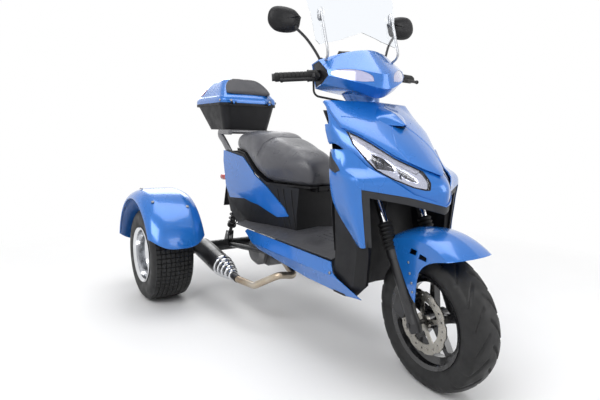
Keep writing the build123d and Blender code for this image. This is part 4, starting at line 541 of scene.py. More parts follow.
def surface_tree(o):
    return BVHTree.FromObject(o, bpy.context.evaluated_depsgraph_get())


def cord_line(name, points, radius, material, body, cyclic=False):
    """A thin round bead along points, as a mesh."""
    curve = bpy.data.curves.new(name, "CURVE")
    curve.dimensions = "3D"
    spline = curve.splines.new("POLY")
    spline.points.add(len(points) - 1)
    for p, q in zip(spline.points, points):
        p.co = (*(np.array(q) * MM), 1)
    spline.use_cyclic_u = cyclic
    curve.bevel_depth = radius * MM
    curve.bevel_resolution = 2
    o = put(name, curve)
    mesh = bpy.data.meshes.new_from_object(o.evaluated_get(bpy.context.evaluated_depsgraph_get()))
    bpy.data.objects.remove(o)
    mesh.materials.clear()
    mesh.materials.append(M[material])
    mesh.shade_smooth()
    return settle(put(name, mesh), body, 60)


# Front cover: hood with its scoop over the beak, smooth, with the lamps let in
COVER_CORNER = (930.0, 600.0)
COVER_SIZE = (440.0, 225.0, 366.0)
COVER_LEVELS = [
    (0.97, [(0.005, -0.93), (0.055, -0.89), (0.105, -0.56), (0.15, -0.25), (0.178, 0.0)]),
    (0.70, [(0.14, -0.99), (0.22, -0.98), (0.34, -0.80), (0.455, -0.30), (0.475, 0.0)]),
    (0.45, [(0.22, -0.97), (0.32, -0.97), (0.53, -0.72), (0.70, -0.30), (0.735, 0.0)]),
    (0.22, [(0.30, -0.96), (0.38, -0.94), (0.66, -0.56), (0.88, -0.26), (0.95, 0.0)]),
    (0.03, [(0.36, -0.92), (0.46, -0.88), (0.76, -0.48), (0.90, -0.22), (0.965, 0.0)]),
]
COVER_FRONT = [(0.0, 1.01), (-0.89, 0.93), (-1.02, 0.62), (-0.945, 0.54), (-0.83, 0.375), (-0.745, 0.315),
               (-0.62, 0.25), (-0.40, 0.145), (-0.18, 0.09), (0.0, 0.05)]
HOOD_FRONT = [(0.0, 1.2), (-0.92, 1.2), (-0.90, 0.72), (-0.76, 0.662), (-0.645, 0.597), (-0.455, 0.468),
              (-0.20, 0.362), (0.0, 0.306)]
LAMP_FRONT = [(-0.862, 0.69), (-0.76, 0.645), (-0.645, 0.58), (-0.455, 0.452), (-0.21, 0.345), (-0.195, 0.25),
              (-0.22, 0.185), (-0.27, 0.180), (-0.38, 0.20), (-0.52, 0.257), (-0.68, 0.338), (-0.76, 0.42),
              (-0.857, 0.567)]
LAMP_CELLS = [
    [(-0.672, 0.480), (-0.563, 0.444), (-0.502, 0.385), (-0.492, 0.330), (-0.650, 0.350), (-0.696, 0.425)],
    [(-0.468, 0.365), (-0.382, 0.322), (-0.327, 0.280), (-0.318, 0.240), (-0.388, 0.262), (-0.455, 0.305)],
]
LAMP_BLADE = [(-0.85, 0.672), (-0.76, 0.632), (-0.645, 0.566), (-0.455, 0.437), (-0.235, 0.345),
              (-0.30, 0.318), (-0.47, 0.40), (-0.565, 0.475), (-0.70, 0.535), (-0.79, 0.578)]


def mirrored(half):
    """Closed outline (y, z) over both sides from the right-hand half, seen from ahead."""
    return list(half) + [(-y, z) for y, z in reversed(half) if y != 0]


def cover_flat(shares):
    """Outline on the cover's front view, from shares of its half width and height."""
    return front_flat(shares, COVER_CORNER, COVER_SIZE)


def left_side(outline):
    return [(-y, z) for y, z in outline]


def cover_grid():
    return share_grid(COVER_LEVELS, COVER_CORNER, COVER_SIZE, (12, 8), (1000, 0, 720))


def inset(outline, by):
    """Outline moved inward by a distance in millimetres."""
    count = len(outline)
    area = sum(outline[i][0] * outline[(i + 1) % count][1] - outline[(i + 1) % count][0] * outline[i][1]
               for i in range(count))
    turn = 1.0 if area > 0 else -1.0
    out = []
    for i in range(count):
        p, a, b = (np.array(outline[k % count], float) for k in (i, i - 1, i + 1))
        d0 = (p - a) / max(1e-9, np.linalg.norm(p - a))
        d1 = (b - p) / max(1e-9, np.linalg.norm(b - p))
        n0, n1 = np.array([-d0[1], d0[0]]) * turn, np.array([-d1[1], d1[0]]) * turn
        m = n0 + n1
        m = m / max(1e-9, np.linalg.norm(m))
        out.append(tuple(p + m * by / max(0.5, float(m @ n0))))
    return out


def make_cover():
    grid = cover_grid()
    lamp_right = cover_flat(LAMP_FRONT)
    base = shell("cover_base", grid, 4.0, "blue_paint")
    trim(base, cover_flat(mirrored(COVER_FRONT)), "x")
    for outline in (lamp_right, left_side(lamp_right)):
        trim(base, outline, "x", keep=False, low=0)
    hood = shell("hood", grid, 8.0, "blue_paint", lift=8.0)
    trim(hood, cover_flat(mirrored(HOOD_FRONT)), "x")
    round_edges(hood, 2.2, 40, 3)
    round_edges(base, 1.2, 40, 2)
    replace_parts(settle(base, "chassis"), "front_cover")
    settle(hood, "chassis")


SCOOP = [
    [(988, -30, 948), (992, -14, 958), (994, 0, 960)],
    [(1036, -60, 917), (1043, -30, 936), (1046, 0, 941)],
    [(1078, -88, 886), (1092, -48, 911), (1101, 0, 920)],
    [(1124, -44, 876), (1130, -26, 891), (1135, 0, 897)],
    [(1158, -8, 873), (1159, -4, 877), (1160, 0, 878)],
]


def make_scoop():
    grid = outward(grid_through([whole(row) for row in SCOOP], (8, 6), column_corners=(2,)), (1060, 0, 850))
    o = shell("hood_scoop", grid, 3.0, "blue_paint")
    round_edges(o, 1.0, 40, 2)
    settle(o, "chassis")
    under = [[(1078, -62, 884), (1082, 0, 886)], [(1112, -44, 868), (1120, 0, 872)],
             [(1150, -8, 869), (1152, 0, 870)]]
    dark = shell("scoop_mouth", grid_through([whole(row) for row in under], (6, 4)), 2.0, "black_plastic")
    settle(dark, "chassis")


def lamp_layer(name, grid, thick, material, lift, inside, holes=(), rounding=None):
    """One layer of a headlamp: a wall on the cover's face, cut by flat outlines."""
    o = shell(name, grid, thick, material, lift)
    trim(o, inside, "x", low=0)
    for hole in holes:
        trim(o, hole, "x", keep=False, low=0)
    if rounding:
        round_edges(o, *rounding)
    return settle(o, "chassis")


PROJECTOR_DEPTH = 24.0
BOWL = [(0.1, -6), (9, -4), (14, 2), (15, 8), (16, 8), (16.5, 1), (12, -7), (0.1, -9)]
BALL = [(0.1, 8), (5, 7), (9, 3), (10.5, -2), (0.1, -3)]


def make_lamps():
    grid = cover_grid()
    for side, name in ((1, "right"), (-1, "left")):
        face = cover_flat if side > 0 else lambda shares: left_side(cover_flat(shares))
        outline = face(LAMP_FRONT)
        window = inset(outline, 3.5)
        cells = [face(cell) for cell in LAMP_CELLS]
        lamp_layer("lamp_collar_" + name, grid, 27.0, "black_plastic", 1.0,
                   outline, [window], (0.6, 40, 1))
        lamp_layer("lamp_back_" + name, grid, 3.0, "lamp_dark", -PROJECTOR_DEPTH,
                   inset(outline, 1.0))
        lamp_layer("lamp_frame_" + name, grid, 5.0, "lamp_silver", -6.0, window, cells, (1.5,))
        lamp_layer("lamp_blade_" + name, grid, 4.0, "lamp_blade", -3.0, face(LAMP_BLADE),
                   rounding=(1.2,))
        lens = lamp_layer("lamp_lens_" + name, grid, 2.0, "clear_lamp", 0.6, window,
                          rounding=(0.6, 40, 1))
        if side > 0:
            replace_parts(lens, "headlamps")
        for k, cell in enumerate(cells):
            y, z = np.mean(cell, axis=0)
            distance = np.linalg.norm(grid[:, :, 1:] - np.array([y, z]), axis=2)
            i, j = np.unravel_index(distance.argmin(), distance.shape)
            x = grid[i, j, 0] - PROJECTOR_DEPTH
            bowl = spun("bowl", BOWL, (x, y, z), "lamp_silver", 32, "x")
            ball = spun("ball", BALL, (x + 1, y, z), "lens_dark", 32, "x")
            settle(joined(f"projector_{name}_{k + 1}", [bowl, ball]), "chassis")


# Rear fenders: smooth crowned arcs with a rolled edge
FENDER_PROFILE = [(284, 643), (296, 638), (312, 620), (326, 585), (329, 545), (329, 470), (326, 430),
                  (312, 396), (300, 380), (276, 374)]
FENDER_HALF = 136
BEAD_RADIUS = 2.2


def make_rear_fenders():
    profile = curve_through(FENDER_PROFILE, 5)
    for side, name in SIDES:
        rows = []
        for k in range(73):
            row = []
            for r, y in profile:
                q = min(1.0, abs(y - FENDER_Y) / FENDER_HALF) ** 3
                a = math.radians(15 + 12 * q + (163 - 22 * q) * k / 72)
                row.append((r * math.cos(a), side * y, REAR_RADIUS + r * math.sin(a)))
            rows.append(row)
        grid = outward(np.array(rows), (0, side * FENDER_Y, REAR_RADIUS))
        o = shell("rear_fender_" + name, grid, 3.0, "blue_paint")
        round_edges(o, 1.0, 50)
        settle(o, "chassis")
        if side < 0:
            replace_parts(o, "rear_fenders")
        edge = lathe([(284 + BEAD_RADIUS * math.cos(a), side * (639.8 + BEAD_RADIUS * math.sin(a)))
                      for a in np.linspace(0, 2 * math.pi, 9)[:-1]], (0, 0, REAR_RADIUS), 72, 27.0, 141.0)
        bead = shell("fender_bead_" + name, np.concatenate([edge, edge[:, :1]], axis=1), 0.5, "blue_paint")
        settle(bead, "chassis")


# Front fender: crowned shell with its pointed nose, two slots and the legs
FENDER_SIDE = [(0.02, 0.98), (0.25, 0.50), (0.43, 0.09), (0.50, 0.0), (0.55, 0.42), (0.64, 0.56), (0.75, 0.64),
               (0.95, 0.71), (1.02, 0.73), (0.95, 1.05), (0.0, 1.05)]
FENDER_SLOTS = [[(0.42, 0.66), (0.51, 0.66), (0.53, 0.73), (0.44, 0.74)],
                [(0.55, 0.63), (0.66, 0.62), (0.66, 0.68), (0.57, 0.70)]]
FENDER_CORNER = (1180.0, 312.0)
FENDER_SIZE = (330.0, 240.0)


def make_front_fender():
    half = [(66, 93), (150, 93.5), (250, 93), (283, 90), (296, 70), (304, 38), (309, 0)]
    half = curve_through([(r, -y) for r, y in half], 5, corners=(3,))
    full = list(half) + [(r, -y) for r, y in reversed(half[:-1])]
    grid = outward(lathe(full, FRONT_HUB, 60, 42.0, 84.0), FRONT_HUB)
    o = shell("front_fender_shell", grid, 3.0, "blue_paint")
    side = flat(FENDER_SIDE, FENDER_SIZE, FENDER_CORNER)
    smooth_side = curve_through(side + side[:1], 4, corners=(3, 8, 9, 10))[:-1]
    trim(o, [tuple(p) for p in smooth_side], "y")
    for slot_shape in FENDER_SLOTS:
        trim(o, flat(slot_shape, FENDER_SIZE, FENDER_CORNER), "y", keep=False)
    round_edges(o, 1.2)
    settle(o, "steering")
    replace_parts(o, "front_fender")


# Shield flares: the flared lower shield, with the dark band that frames the wheel opening
FLARE_CORNER = (1050.0, 460.0)
FLARE_SIZE = (315.0, 262.0, 330.0)
FLARE_LEVELS = [
    (1.0, [(0.02, -0.94), (0.10, -0.96), (0.16, -0.90), (0.42, -0.50), (0.90, 0.0)]),
    (0.83, [(0.03, -0.96), (0.13, -1.0), (0.26, -0.95), (0.56, -0.50), (0.97, 0.0)]),
    (0.70, [(0.05, -0.97), (0.37, -0.99), (0.49, -0.93), (0.69, -0.48), (0.99, 0.0)]),
    (0.45, [(0.10, -0.94), (0.42, -0.95), (0.51, -0.88), (0.70, -0.46), (0.97, 0.0)]),
    (0.04, [(0.42, -0.83), (0.50, -0.85), (0.52, -0.79), (0.70, -0.44), (0.92, 0.0)]),
]
FLARE_WINDOW = [(-0.76, -0.2), (-0.91, 0.625), (-0.40, 0.555), (0.0, 0.465)]
FLARE_TIP = [(-0.13, -0.13), (0.42, -0.13), (0.0, 0.55), (-0.13, 0.6)]
FLARE_OPENING = [(-0.62, -0.7), (-0.80, 0.540), (-0.38, 0.478), (0.0, 0.388)]
INSERT = [(1034, 790), (1068, 776), (1126, 722), (1104, 712), (1034, 734)]


def make_flares():
    grid = share_grid(FLARE_LEVELS, FLARE_CORNER, FLARE_SIZE, (8, 8), (1000, 0, 620), (2, 6))
    window, opening = (mirrored(front_flat(shares, FLARE_CORNER, FLARE_SIZE))
                       for shares in (FLARE_WINDOW, FLARE_OPENING))
    tip = flat(FLARE_TIP, (FLARE_SIZE[0], FLARE_SIZE[2]), FLARE_CORNER)
    blue = shell("shield_flares_finished", grid, 4.0, "blue_paint")
    trim(blue, window, "x", keep=False)
    band = shell("wheel_opening_band", grid, 6.0, "band_plastic", lift=-3.0)
    trim(band, inset(window, -1.5), "x")
    trim(band, opening, "x", keep=False)
    for o in (blue, band):
        trim(o, cover_flat(mirrored(COVER_FRONT)), "x", keep=False, low=930)
        trim(o, tip, "y", keep=False)
        round_edges(o, 1.6, 36, 2)
    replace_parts(settle(blue, "chassis", 40), "shield_flares")
    settle(band, "chassis", 40)
    insert = shell("side_inserts", grid, 5.0, "band_plastic", lift=1.5)
    trim(insert, INSERT, "y")
    round_edges(insert, 1.0, 40, 2)
    settle(insert, "chassis", 40)


INNER_LEVELS = [
    (925, [(932, -190), (950, -140), (925, -96), (909, 0)]),
    (856, [(984, -198), (975, -148), (932, -105), (915, 0)]),
    (738, [(1028, -211), (1005, -153), (938, -113), (922, 0)]),
    (580, [(1045, -226), (1044, -161), (953, -122), (930, 0)]),
    (432, [(1053, -214), (1052, -161), (964, -122), (938, 0)]),
]


def make_inner_shield():
    rows = [whole([(x, y, z) for x, y in half]) for z, half in INNER_LEVELS]
    grid = outward(grid_through(rows, (6, 6)), (1100, 0, 680))
    o = shell("inner_shield_finished", grid, 3.5, "black_plastic")
    round_edges(o, 1.0, 40, 2)
    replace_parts(settle(o, "chassis", 40), "inner_shield")


# Bar cowl: creased panels that curve over the bar, from one end over the nose to the other
COWL_CORNER = (830.0, 985.0)
COWL_SIZE = (250.0, 172.0, 172.0)
COWL_STATIONS = [
    (1.0, [(0.15, 0.20), (0.34, 0.28), (0.54, 0.44), (0.50, 0.56), (0.26, 0.80), (0.05, 0.74)]),
    (0.5, [(0.12, 0.10), (0.72, 0.10), (0.88, 0.24), (0.80, 0.52), (0.45, 0.93), (0.10, 0.82)]),
    (0.0, [(0.10, 0.03), (0.80, -0.06), (1.0, 0.11), (0.985, 0.41), (0.55, 0.98), (0.14, 0.86)]),
]
COWL_LAMP = [(0.25, 0.27), (0.50, 0.275), (0.82, 0.37), (0.955, 0.46), (0.93, 0.525), (0.72, 0.55),
             (0.45, 0.50), (0.27, 0.38)]


def cowl_grid():
    rows = []
    for share, loop in [(-s, p) for s, p in COWL_STATIONS] + COWL_STATIONS[1::-1]:
        points = [(COWL_CORNER[0] + u * COWL_SIZE[0], share * COWL_SIZE[1], COWL_CORNER[1] + v * COWL_SIZE[2])
                  for u, v in loop]
        rows.append(points + points[:1])
    return outward(grid_through(rows, (10, 6), column_corners=(1, 2, 3, 4, 5)), (920, 0, 1070))


def make_cowl():
    grid = cowl_grid()
    body = shell("bar_cowl_finished", grid, 4.0, "blue_paint")
    neck = spun("neck", [(54, 952), (58, 952), (74, 996), (70, 999)], (STEER_FOOT.x * 1000, 0, 0), "blue_paint",
                48, "z")
    lean = Matrix.Identity(4)
    lean[0][2] = -math.tan(RAKE)
    neck.data.transform(Matrix.Translation((STEER_FOOT.z * math.tan(RAKE), 0, 0)) @ lean)
    for side, name in ((1, "right"), (-1, "left")):
        slot = [(-side * y, z) for y, z in front_flat(COWL_LAMP, COWL_CORNER, COWL_SIZE)]
        slot = [tuple(p) for p in curve_through(slot + slot[:1], 4)[:-1]]
        trim(body, slot, "x", keep=False, low=955)
        pane = shell("cowl_lamp_" + name, grid, 3.0, "lilac_lens", lift=-1.0)
        trim(pane, inset(slot, 0.4), "x", low=955)
        round_edges(pane, 1.0, 40, 2)
        settle(pane, "steering")
        loop = [(COWL_CORNER[0] + 4 + u * (COWL_SIZE[0] - 8), COWL_CORNER[1] + 3 + v * (COWL_SIZE[2] - 6))
                for u, v in COWL_STATIONS[0][1]]
        cap = prism(loop, "y", *sorted((-side * 166.0, -side * 170.5)), "cowl_cap_" + name, "black_plastic")
        round_edges(cap)
        settle(cap, "steering")
        if side > 0:
            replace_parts(pane, "cowl_lamps")
    round_edges(body, 4.5, 24, 4)
    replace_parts(settle(body, "steering", 40), "bar_cowl")
    settle(neck, "steering")


# Mirrors: rounded black heads on bent arms, with the glass facing the rider
MIRROR_OUTLINE = [(-1.0, 0.25), (-0.72, -0.86), (0.55, -1.0), (1.0, -0.35), (0.94, 0.55), (0.60, 1.0),
                  (-0.55, 0.86)]
MIRROR_HALF = (67, 43)
MIRROR_Y, MIRROR_Z = 268, 1274
MIRROR_DOME = [(815.2, 0.985), (818, 1.0), (824, 0.985), (833, 0.86), (840, 0.64), (844, 0.38), (845, 0.03)]
MIRROR_ARM = [(872, 146, 1100), (870, 150, 1124), (848, 190, 1200), (836, 228, 1240), (828, 258, 1266)]
MIRROR_BOOT = [(0.1, 1100), (12, 1100), (12.5, 1108), (10.5, 1112), (11.5, 1118), (9, 1122), (10, 1128),
               (6, 1134), (0.1, 1134)]


def make_mirrors():
    outline = [(y * MIRROR_HALF[0], z * MIRROR_HALF[1]) for y, z in MIRROR_OUTLINE]
    loop = curve_through(outline + outline[:1], 6)
    for side, name in SIDES:
        rows = [[(x, side * (MIRROR_Y + y * k), MIRROR_Z + z * k) for y, z in loop] for x, k in MIRROR_DOME]
        columns = [curve_through([row[j] for row in rows], 3, corners=(1,)) for j in range(len(rows[0]))]
        grid = outward(np.array(columns).transpose(1, 0, 2), (800, side * MIRROR_Y, MIRROR_Z))
        head = shell("mirror_head_" + name, grid, 2.5, "black_plastic")
        settle(head, "steering", 60)
        if side < 0:
            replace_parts(head, "mirrors")
        pane = [(side * (MIRROR_Y + y * 0.955), MIRROR_Z + z * 0.955) for y, z in loop[:-1]]
        glass = prism(pane, "x", 815.4, 817.2, "mirror_glass_" + name, "mirror_glass")
        settle(glass, "steering")
        arm = curve_through([(x, side * y, z) for x, y, z in MIRROR_ARM], 6)
        cord_line("mirror_arm_" + name, arm, 5.2, "black_steel", "steering")
        boot = spun("mirror_boot_" + name, MIRROR_BOOT, (871, side * 148, 0), "rubber", 32, "z")
        settle(boot, "steering")


def tube_mesh(name, grid, material):
    """A tube from a grid of closed loops, filled at both ends."""
    o = add_mesh(name, grid.reshape(-1, 3) * MM, grid_faces(grid.shape), material)
    clean_up(o.data)
    b = bmesh.new()
    b.from_mesh(o.data)
    bmesh.ops.holes_fill(b, edges=[e for e in b.edges if e.is_boundary], sides=0)
    bmesh.ops.recalc_face_normals(b, faces=b.faces)
    b.to_mesh(o.data)
    b.free()
    return o


# Luggage rail: broad flattened legs that bend forward under the box, joined by two cross bars
RAIL_PATH = [(124, 651), (40, 719), (-60, 799), (-104, 830), (-100, 846), (-60, 849), (24, 849)]
RAIL_WIDE, RAIL_THICK, RAIL_Y, RAIL_TOP = 19.0, 12.0, 128, 856.5


def make_rail():
    parts = []
    path = curve_through(RAIL_PATH, 6)
    for side in (-1, 1):
        rows = []
        for i, p in enumerate(path):
            a, b = path[max(0, i - 1)], path[min(len(path) - 1, i + 1)]
            d = (b - a) / np.linalg.norm(b - a)
            n = np.array([-d[1], d[0]])
            loop = []
            for t in np.linspace(0, 2 * math.pi, 21):
                c, s = (math.copysign(abs(v) ** 0.7, v) for v in (math.cos(t), math.sin(t)))
                q = p + n * RAIL_WIDE * c
                loop.append((q[0], side * RAIL_Y + RAIL_THICK * s, min(q[1], RAIL_TOP)))
            rows.append(loop)
        parts.append(tube_mesh("leg", np.array(rows), "rail_grey"))
    for x in (-60, 13):
        parts.append(turned_piece("bar", [(0.1, 0), (11, 0), (11, RAIL_Y * 2), (0.1, RAIL_Y * 2)],
                                  (x, -RAIL_Y, 846), (x, RAIL_Y, 846), "rail_grey", 24))
    o = joined("luggage_rail_finished", parts)
    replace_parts(settle(o, "chassis", 40), "luggage_rail")


# Luggage box lid: crowned shell with a brow, a red reflector, corner bumps and hinge barrels.
# Each level: height, front edge, length, half width, corner radius
LID_LEVELS = [(1000.6, 12, 385, 172, 44), (1016, 12, 385, 172, 44), (1030, 7, 375, 167, 44),
              (1038, 0, 361, 161, 44), (1074, -34, 292, 142, 46), (1112, -74, 222, 119, 46),
              (1131, -96, 184, 104, 44), (1138, -112, 150, 86, 42), (1140, -140, 92, 54, 34),
              (1140, -182, 8, 5, 2.5)]
REFLECTOR = [(-290, 1052), (-330, 1046), (-322, 1074), (-286, 1088), (-262, 1082)]
LID_BUMPS = [((-18, -170.5, 1012), (0, -1, 0.1)), ((11.0, -118, 1012), (1, 0, 0.1)),
             ((11.0, 118, 1012), (1, 0, 0.1)), ((-18, 170.5, 1012), (0, 1, 0.1)),
             ((-352, -150, 1012), (-0.7, -0.7, 0.1)), ((-352, 150, 1012), (-0.7, 0.7, 0.1))]


def ring(z, front_x, length, half, corner, per_corner=7, per_side=5):
    """Level loop with round corners, counted back from its front edge; its first point comes last too."""
    points = []
    middle = front_x - length / 2
    cx, cy = length / 2 - corner, half - corner
    for k, (sx, sy) in enumerate(((1, 1), (-1, 1), (-1, -1), (1, -1))):
        for a in np.linspace(k * 90, k * 90 + 90, per_corner):
            points.append((middle + sx * cx + corner * math.cos(math.radians(a)),
                           sy * cy + corner * math.sin(math.radians(a)), z))
        nx, ny = ((-1, 1), (-1, -1), (1, -1), (1, 1))[k]
        nxt = (middle + nx * cx + corner * math.cos(math.radians(k * 90 + 90)),
               ny * cy + corner * math.sin(math.radians(k * 90 + 90)), z)
        here = points[-1]
        for t in np.linspace(0, 1, per_side + 2)[1:-1]:
            points.append(tuple(np.array(here) * (1 - t) + np.array(nxt) * t))
    return points + points[:1]


def make_lid():
    loops = [ring(*level) for level in LID_LEVELS]
    columns = [curve_through([loop[j] for loop in loops], 4, corners=(1, 3)) for j in range(len(loops[0]))]
    grid = outward(np.array(columns).transpose(1, 0, 2), (-180, 0, 1000))
    lid = shell("box_lid_finished", grid, 3.5, "blue_paint")
    barrel = [(0.1, -5.6), (6, -5.6), (6, 5.6), (0.1, 5.6)]
    barrels = [spun("barrel", barrel, (21, side * 108, 1000), "blue_paint", 20) for side in (-1, 1)]
    round_edges(lid, 1.2)
    lid = joined("box_lid_shell", [lid] + barrels)
    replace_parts(settle(lid, "box_lid_body", 40), "box_lid")
    for side, name in SIDES:
        red = shell("reflector_" + name, grid, 3.0, "red_lamp", lift=1.6)
        trim(red, REFLECTOR, "y", True, *((90, 400) if side > 0 else (-400, -90)))
        round_edges(red, 0.8)
        settle(red, "box_lid_body")
    settle(joined("lid_bumps", [bolt(p, d, 7.0, 4.0) for p, d in LID_BUMPS]), "box_lid_body")


# Rear tyres: turned carcasses with raised tread blocks between grooves
TYRE_HALF, TYRE_BEAD, RIM_HALF = 102.5, 127, 88
SHOULDER_IN, CROWN_FALL, BLOCK_INSET, GROOVE = 16, 11.5, 1.9, 4.5


def make_rear_tyre(side, name):
    radius, half, bead, rim_half, rise = REAR_RADIUS, TYRE_HALF, TYRE_BEAD, RIM_HALF, CROWN_FALL
    shoulder = half - SHOULDER_IN
    face = radius - GROOVE
    outer = [(face - rise * (abs(a) / half) ** 2, a) for a in np.linspace(-shoulder, shoulder, 9)]
    flank = [(face - rise * 1.35, half * 0.93), (face - (radius - bead) * 0.32, half),
             (radius - (radius - bead) * 0.62, half * 0.985), (bead + 9, rim_half + 5),
             (bead + 1, rim_half - 1)]
    inner = [(bead + 6, rim_half - 8), (radius - 14 - rise, half * 0.86), (radius - 13, 0)]
    outline = [(r, -a) for r, a in reversed(flank)] + outer + flank \
        + inner + [(r, -a) for r, a in reversed(inner[:-1])]
    centre = (0, side * REAR_TYRE_Y, REAR_RADIUS)
    o = spun("rear_tyre_tread_" + name, outline, centre, "tyre", 64)
    b = bmesh.new()
    b.from_mesh(o.data)
    middle = Vector(centre) * MM
    low = max(face - rise - 2.5, radius - 14 - rise + 4)
    tread = []
    for f in b.faces:
        c = f.calc_center_median() - middle
        if abs(c.y) / MM < shoulder and math.hypot(c.x, c.z) / MM > low:
            tread.append(f)
    bmesh.ops.inset_individual(b, faces=tread, thickness=BLOCK_INSET * MM, depth=0.0, use_even_offset=True)
    moved = {}
    for f in tread:
        for v in f.verts:
            moved.setdefault(v, []).append(f.normal.copy())
    for v, normals in moved.items():
        v.co += sum(normals, Vector()).normalized() * (GROOVE - 0.6) * MM
    b.to_mesh(o.data)
    b.free()
    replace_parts(settle(o, "rear_wheel_" + name, 30), "rear_tyre_" + name)


def make_front_tyre():
    """The front tyre, with swept grooves that run from the middle to the shoulders."""
    radius, half, bead, rim_half = 236.5, 62.0, 152, 43
    tread = np.linspace(-51, 51, 29)
    grooves, depth, steps = 19, 4.2, 380
    side = [(radius - 26, half * 0.94), (radius - 40, half), (radius - 54, half * 0.985),
            (bead + 9, rim_half + 5), (bead + 1, rim_half - 1)]
    inner = [(bead + 6, rim_half - 8), (radius - 34, half * 0.84), (radius - 13, 0)]
    left = [(r, -a) for r, a in reversed(side)]
    outline = left + [(radius - 19 * (abs(a) / half) ** 2.2, a) for a in tread] + side + inner \
        + [(r, -a) for r, a in reversed(inner[:-1])]
    grid = lathe(outline, FRONT_HUB, steps)[:-1]
    for i in range(steps):
        for j, a in enumerate(tread):
            u = a / tread[-1]
            phase = (i / steps * grooves + (0.5 if u > 0 else 0.0) + 0.95 * abs(u) ** 1.5) % 1.0
            cut = max(0.0, 1 - ((phase - 0.5) / 0.085) ** 2) * min(1.0, max(0.0, (abs(u) - 0.08) / 0.1))
            p = grid[i, len(left) + j] - np.array(FRONT_HUB)
            away = np.array([p[0], 0, p[2]]) / math.hypot(p[0], p[2])
            grid[i, len(left) + j] -= away * depth * min(1.0, cut * 2)
    o = closed_mesh("front_tyre_tread", grid, "tyre")
    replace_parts(settle(o, "front_wheel", 60), "front_tyre")


# Seat: one-piece stepped cushion, swelled by cloth, with its seams.
# Each station: distance ahead, half width, underside, top
SEAT_STATIONS = [(30, 78, 758, 792), (44, 100, 756, 812), (80, 126, 748, 832), (124, 142, 741, 845),
                 (215, 155, 733, 852), (285, 160, 688, 850), (345, 162, 650, 840), (385, 161, 632, 824),
                 (430, 160, 617, 814), (479, 156, 609, 800), (540, 142, 608, 782), (600, 121, 607, 768),
                 (645, 101, 607, 752), (678, 80, 607, 722), (696, 62, 611, 682)]
SEAT_SECTION = [(0.0, 0.0), (0.55, 0.0), (0.90, 0.02), (0.985, 0.16), (1.0, 0.36), (0.975, 0.62), (0.87, 0.84),
                (0.66, 0.955), (0.35, 1.0), (0.0, 1.005)]


def seat_grid(inset_by):
    rows = []
    for x, w, low, high in SEAT_STATIONS:
        rows.append(whole([(x, -y * (w - inset_by), low + inset_by + z * (high - low - inset_by * 2))
                           for y, z in SEAT_SECTION]))
    return outward(grid_through(rows, (4, 3)), (350, 0, 720))


def soften(o, rounds):
    """Evens a mesh out by moving each point toward its neighbours."""
    m = o.modifiers.new("even", "SMOOTH")
    m.factor = 0.5
    m.iterations = rounds
    return bake(o)


CLOTH_FRAMES = 20
CLOTH_PRESSURE = 4.0


def cushion(name, o, voxel, cap, material, rounds):
    """A closed mesh swelled like a stuffed cushion, with each point held within cap millimetres."""
    m = o.modifiers.new("remesh", "REMESH")
    m.mode = "VOXEL"
    m.voxel_size = voxel * MM
    soften(o, rounds)
    start = np.array([v.co[:] for v in o.data.vertices])
    cloth = o.modifiers.new("cloth", "CLOTH")
    cloth.settings.use_pressure = True
    cloth.settings.uniform_pressure_force = CLOTH_PRESSURE
    cloth.settings.effector_weights.gravity = 0.0
    cloth.settings.quality = 5
    cloth.point_cache.frame_start = 1
    cloth.point_cache.frame_end = CLOTH_FRAMES
    for f in range(1, CLOTH_FRAMES + 1):
        bpy.context.scene.frame_set(f)
    bake(o)
    end = np.array([v.co[:] for v in o.data.vertices])
    move = end - start
    length = np.linalg.norm(move, axis=1, keepdims=True)
    end = start + move * np.minimum(1.0, cap * MM / np.maximum(length, 1e-9))
    o.data.vertices.foreach_set("co", end.ravel())
    bpy.context.scene.frame_set(1)
    soften(o, 24)
    s = o.modifiers.new("fine", "SUBSURF")
    s.levels = 1
    s.render_levels = 1
    bake(o)
    paint(o, material)
    o.name = o.data.name = name
    return o


def make_seat():
    pad = cushion("seat_cushion_padded", tube_mesh("seat_base", seat_grid(7.0), "seat_vinyl"), 6.0, 8.0,
                  "seat_vinyl", 6)
    tree = surface_tree(pad)
    welt = []
    for a in np.radians(np.linspace(-168, -12, 60)):
        y, z = 260 * math.cos(a), 260 * math.sin(a)
        welt.append(((392 - 26 * math.cos(a) ** 2, y, 700 - z), (0, -y, z)))
    edge = []
    for side in (-1, 1):
        run = [((x, side * 300, low + 0.20 * (high - low)), (0, -side, 0)) for x, _, low, high in SEAT_STATIONS]
        edge += run[::-side]
    welt, edge = hits(tree, welt, 0.2), hits(tree, edge, 0.1)
    settle(pad, "seat", 60)
    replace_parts(pad, "seat_cushion")
    cord_line("seat_step_seam", welt, 1.6, "seat_vinyl", "seat")
    cord_line("seat_edge_seam", curve_through(edge, 4), 1.4, "seat_vinyl", "seat", cyclic=True)


# Lid pad: share of the way up the lid's face, half width and thickness of each row
PAD_ROWS = [(0.10, 112, 4), (0.115, 130, 9), (0.17, 139, 13), (0.42, 134, 14.5), (0.66, 118, 14),
            (0.84, 96, 13), (0.93, 72, 10), (0.965, 46, 5)]
PAD_SECTION = [(1.0, 0.1), (0.985, 0.5), (0.9, 0.85), (0.6, 0.98), (0.0, 1.0)]


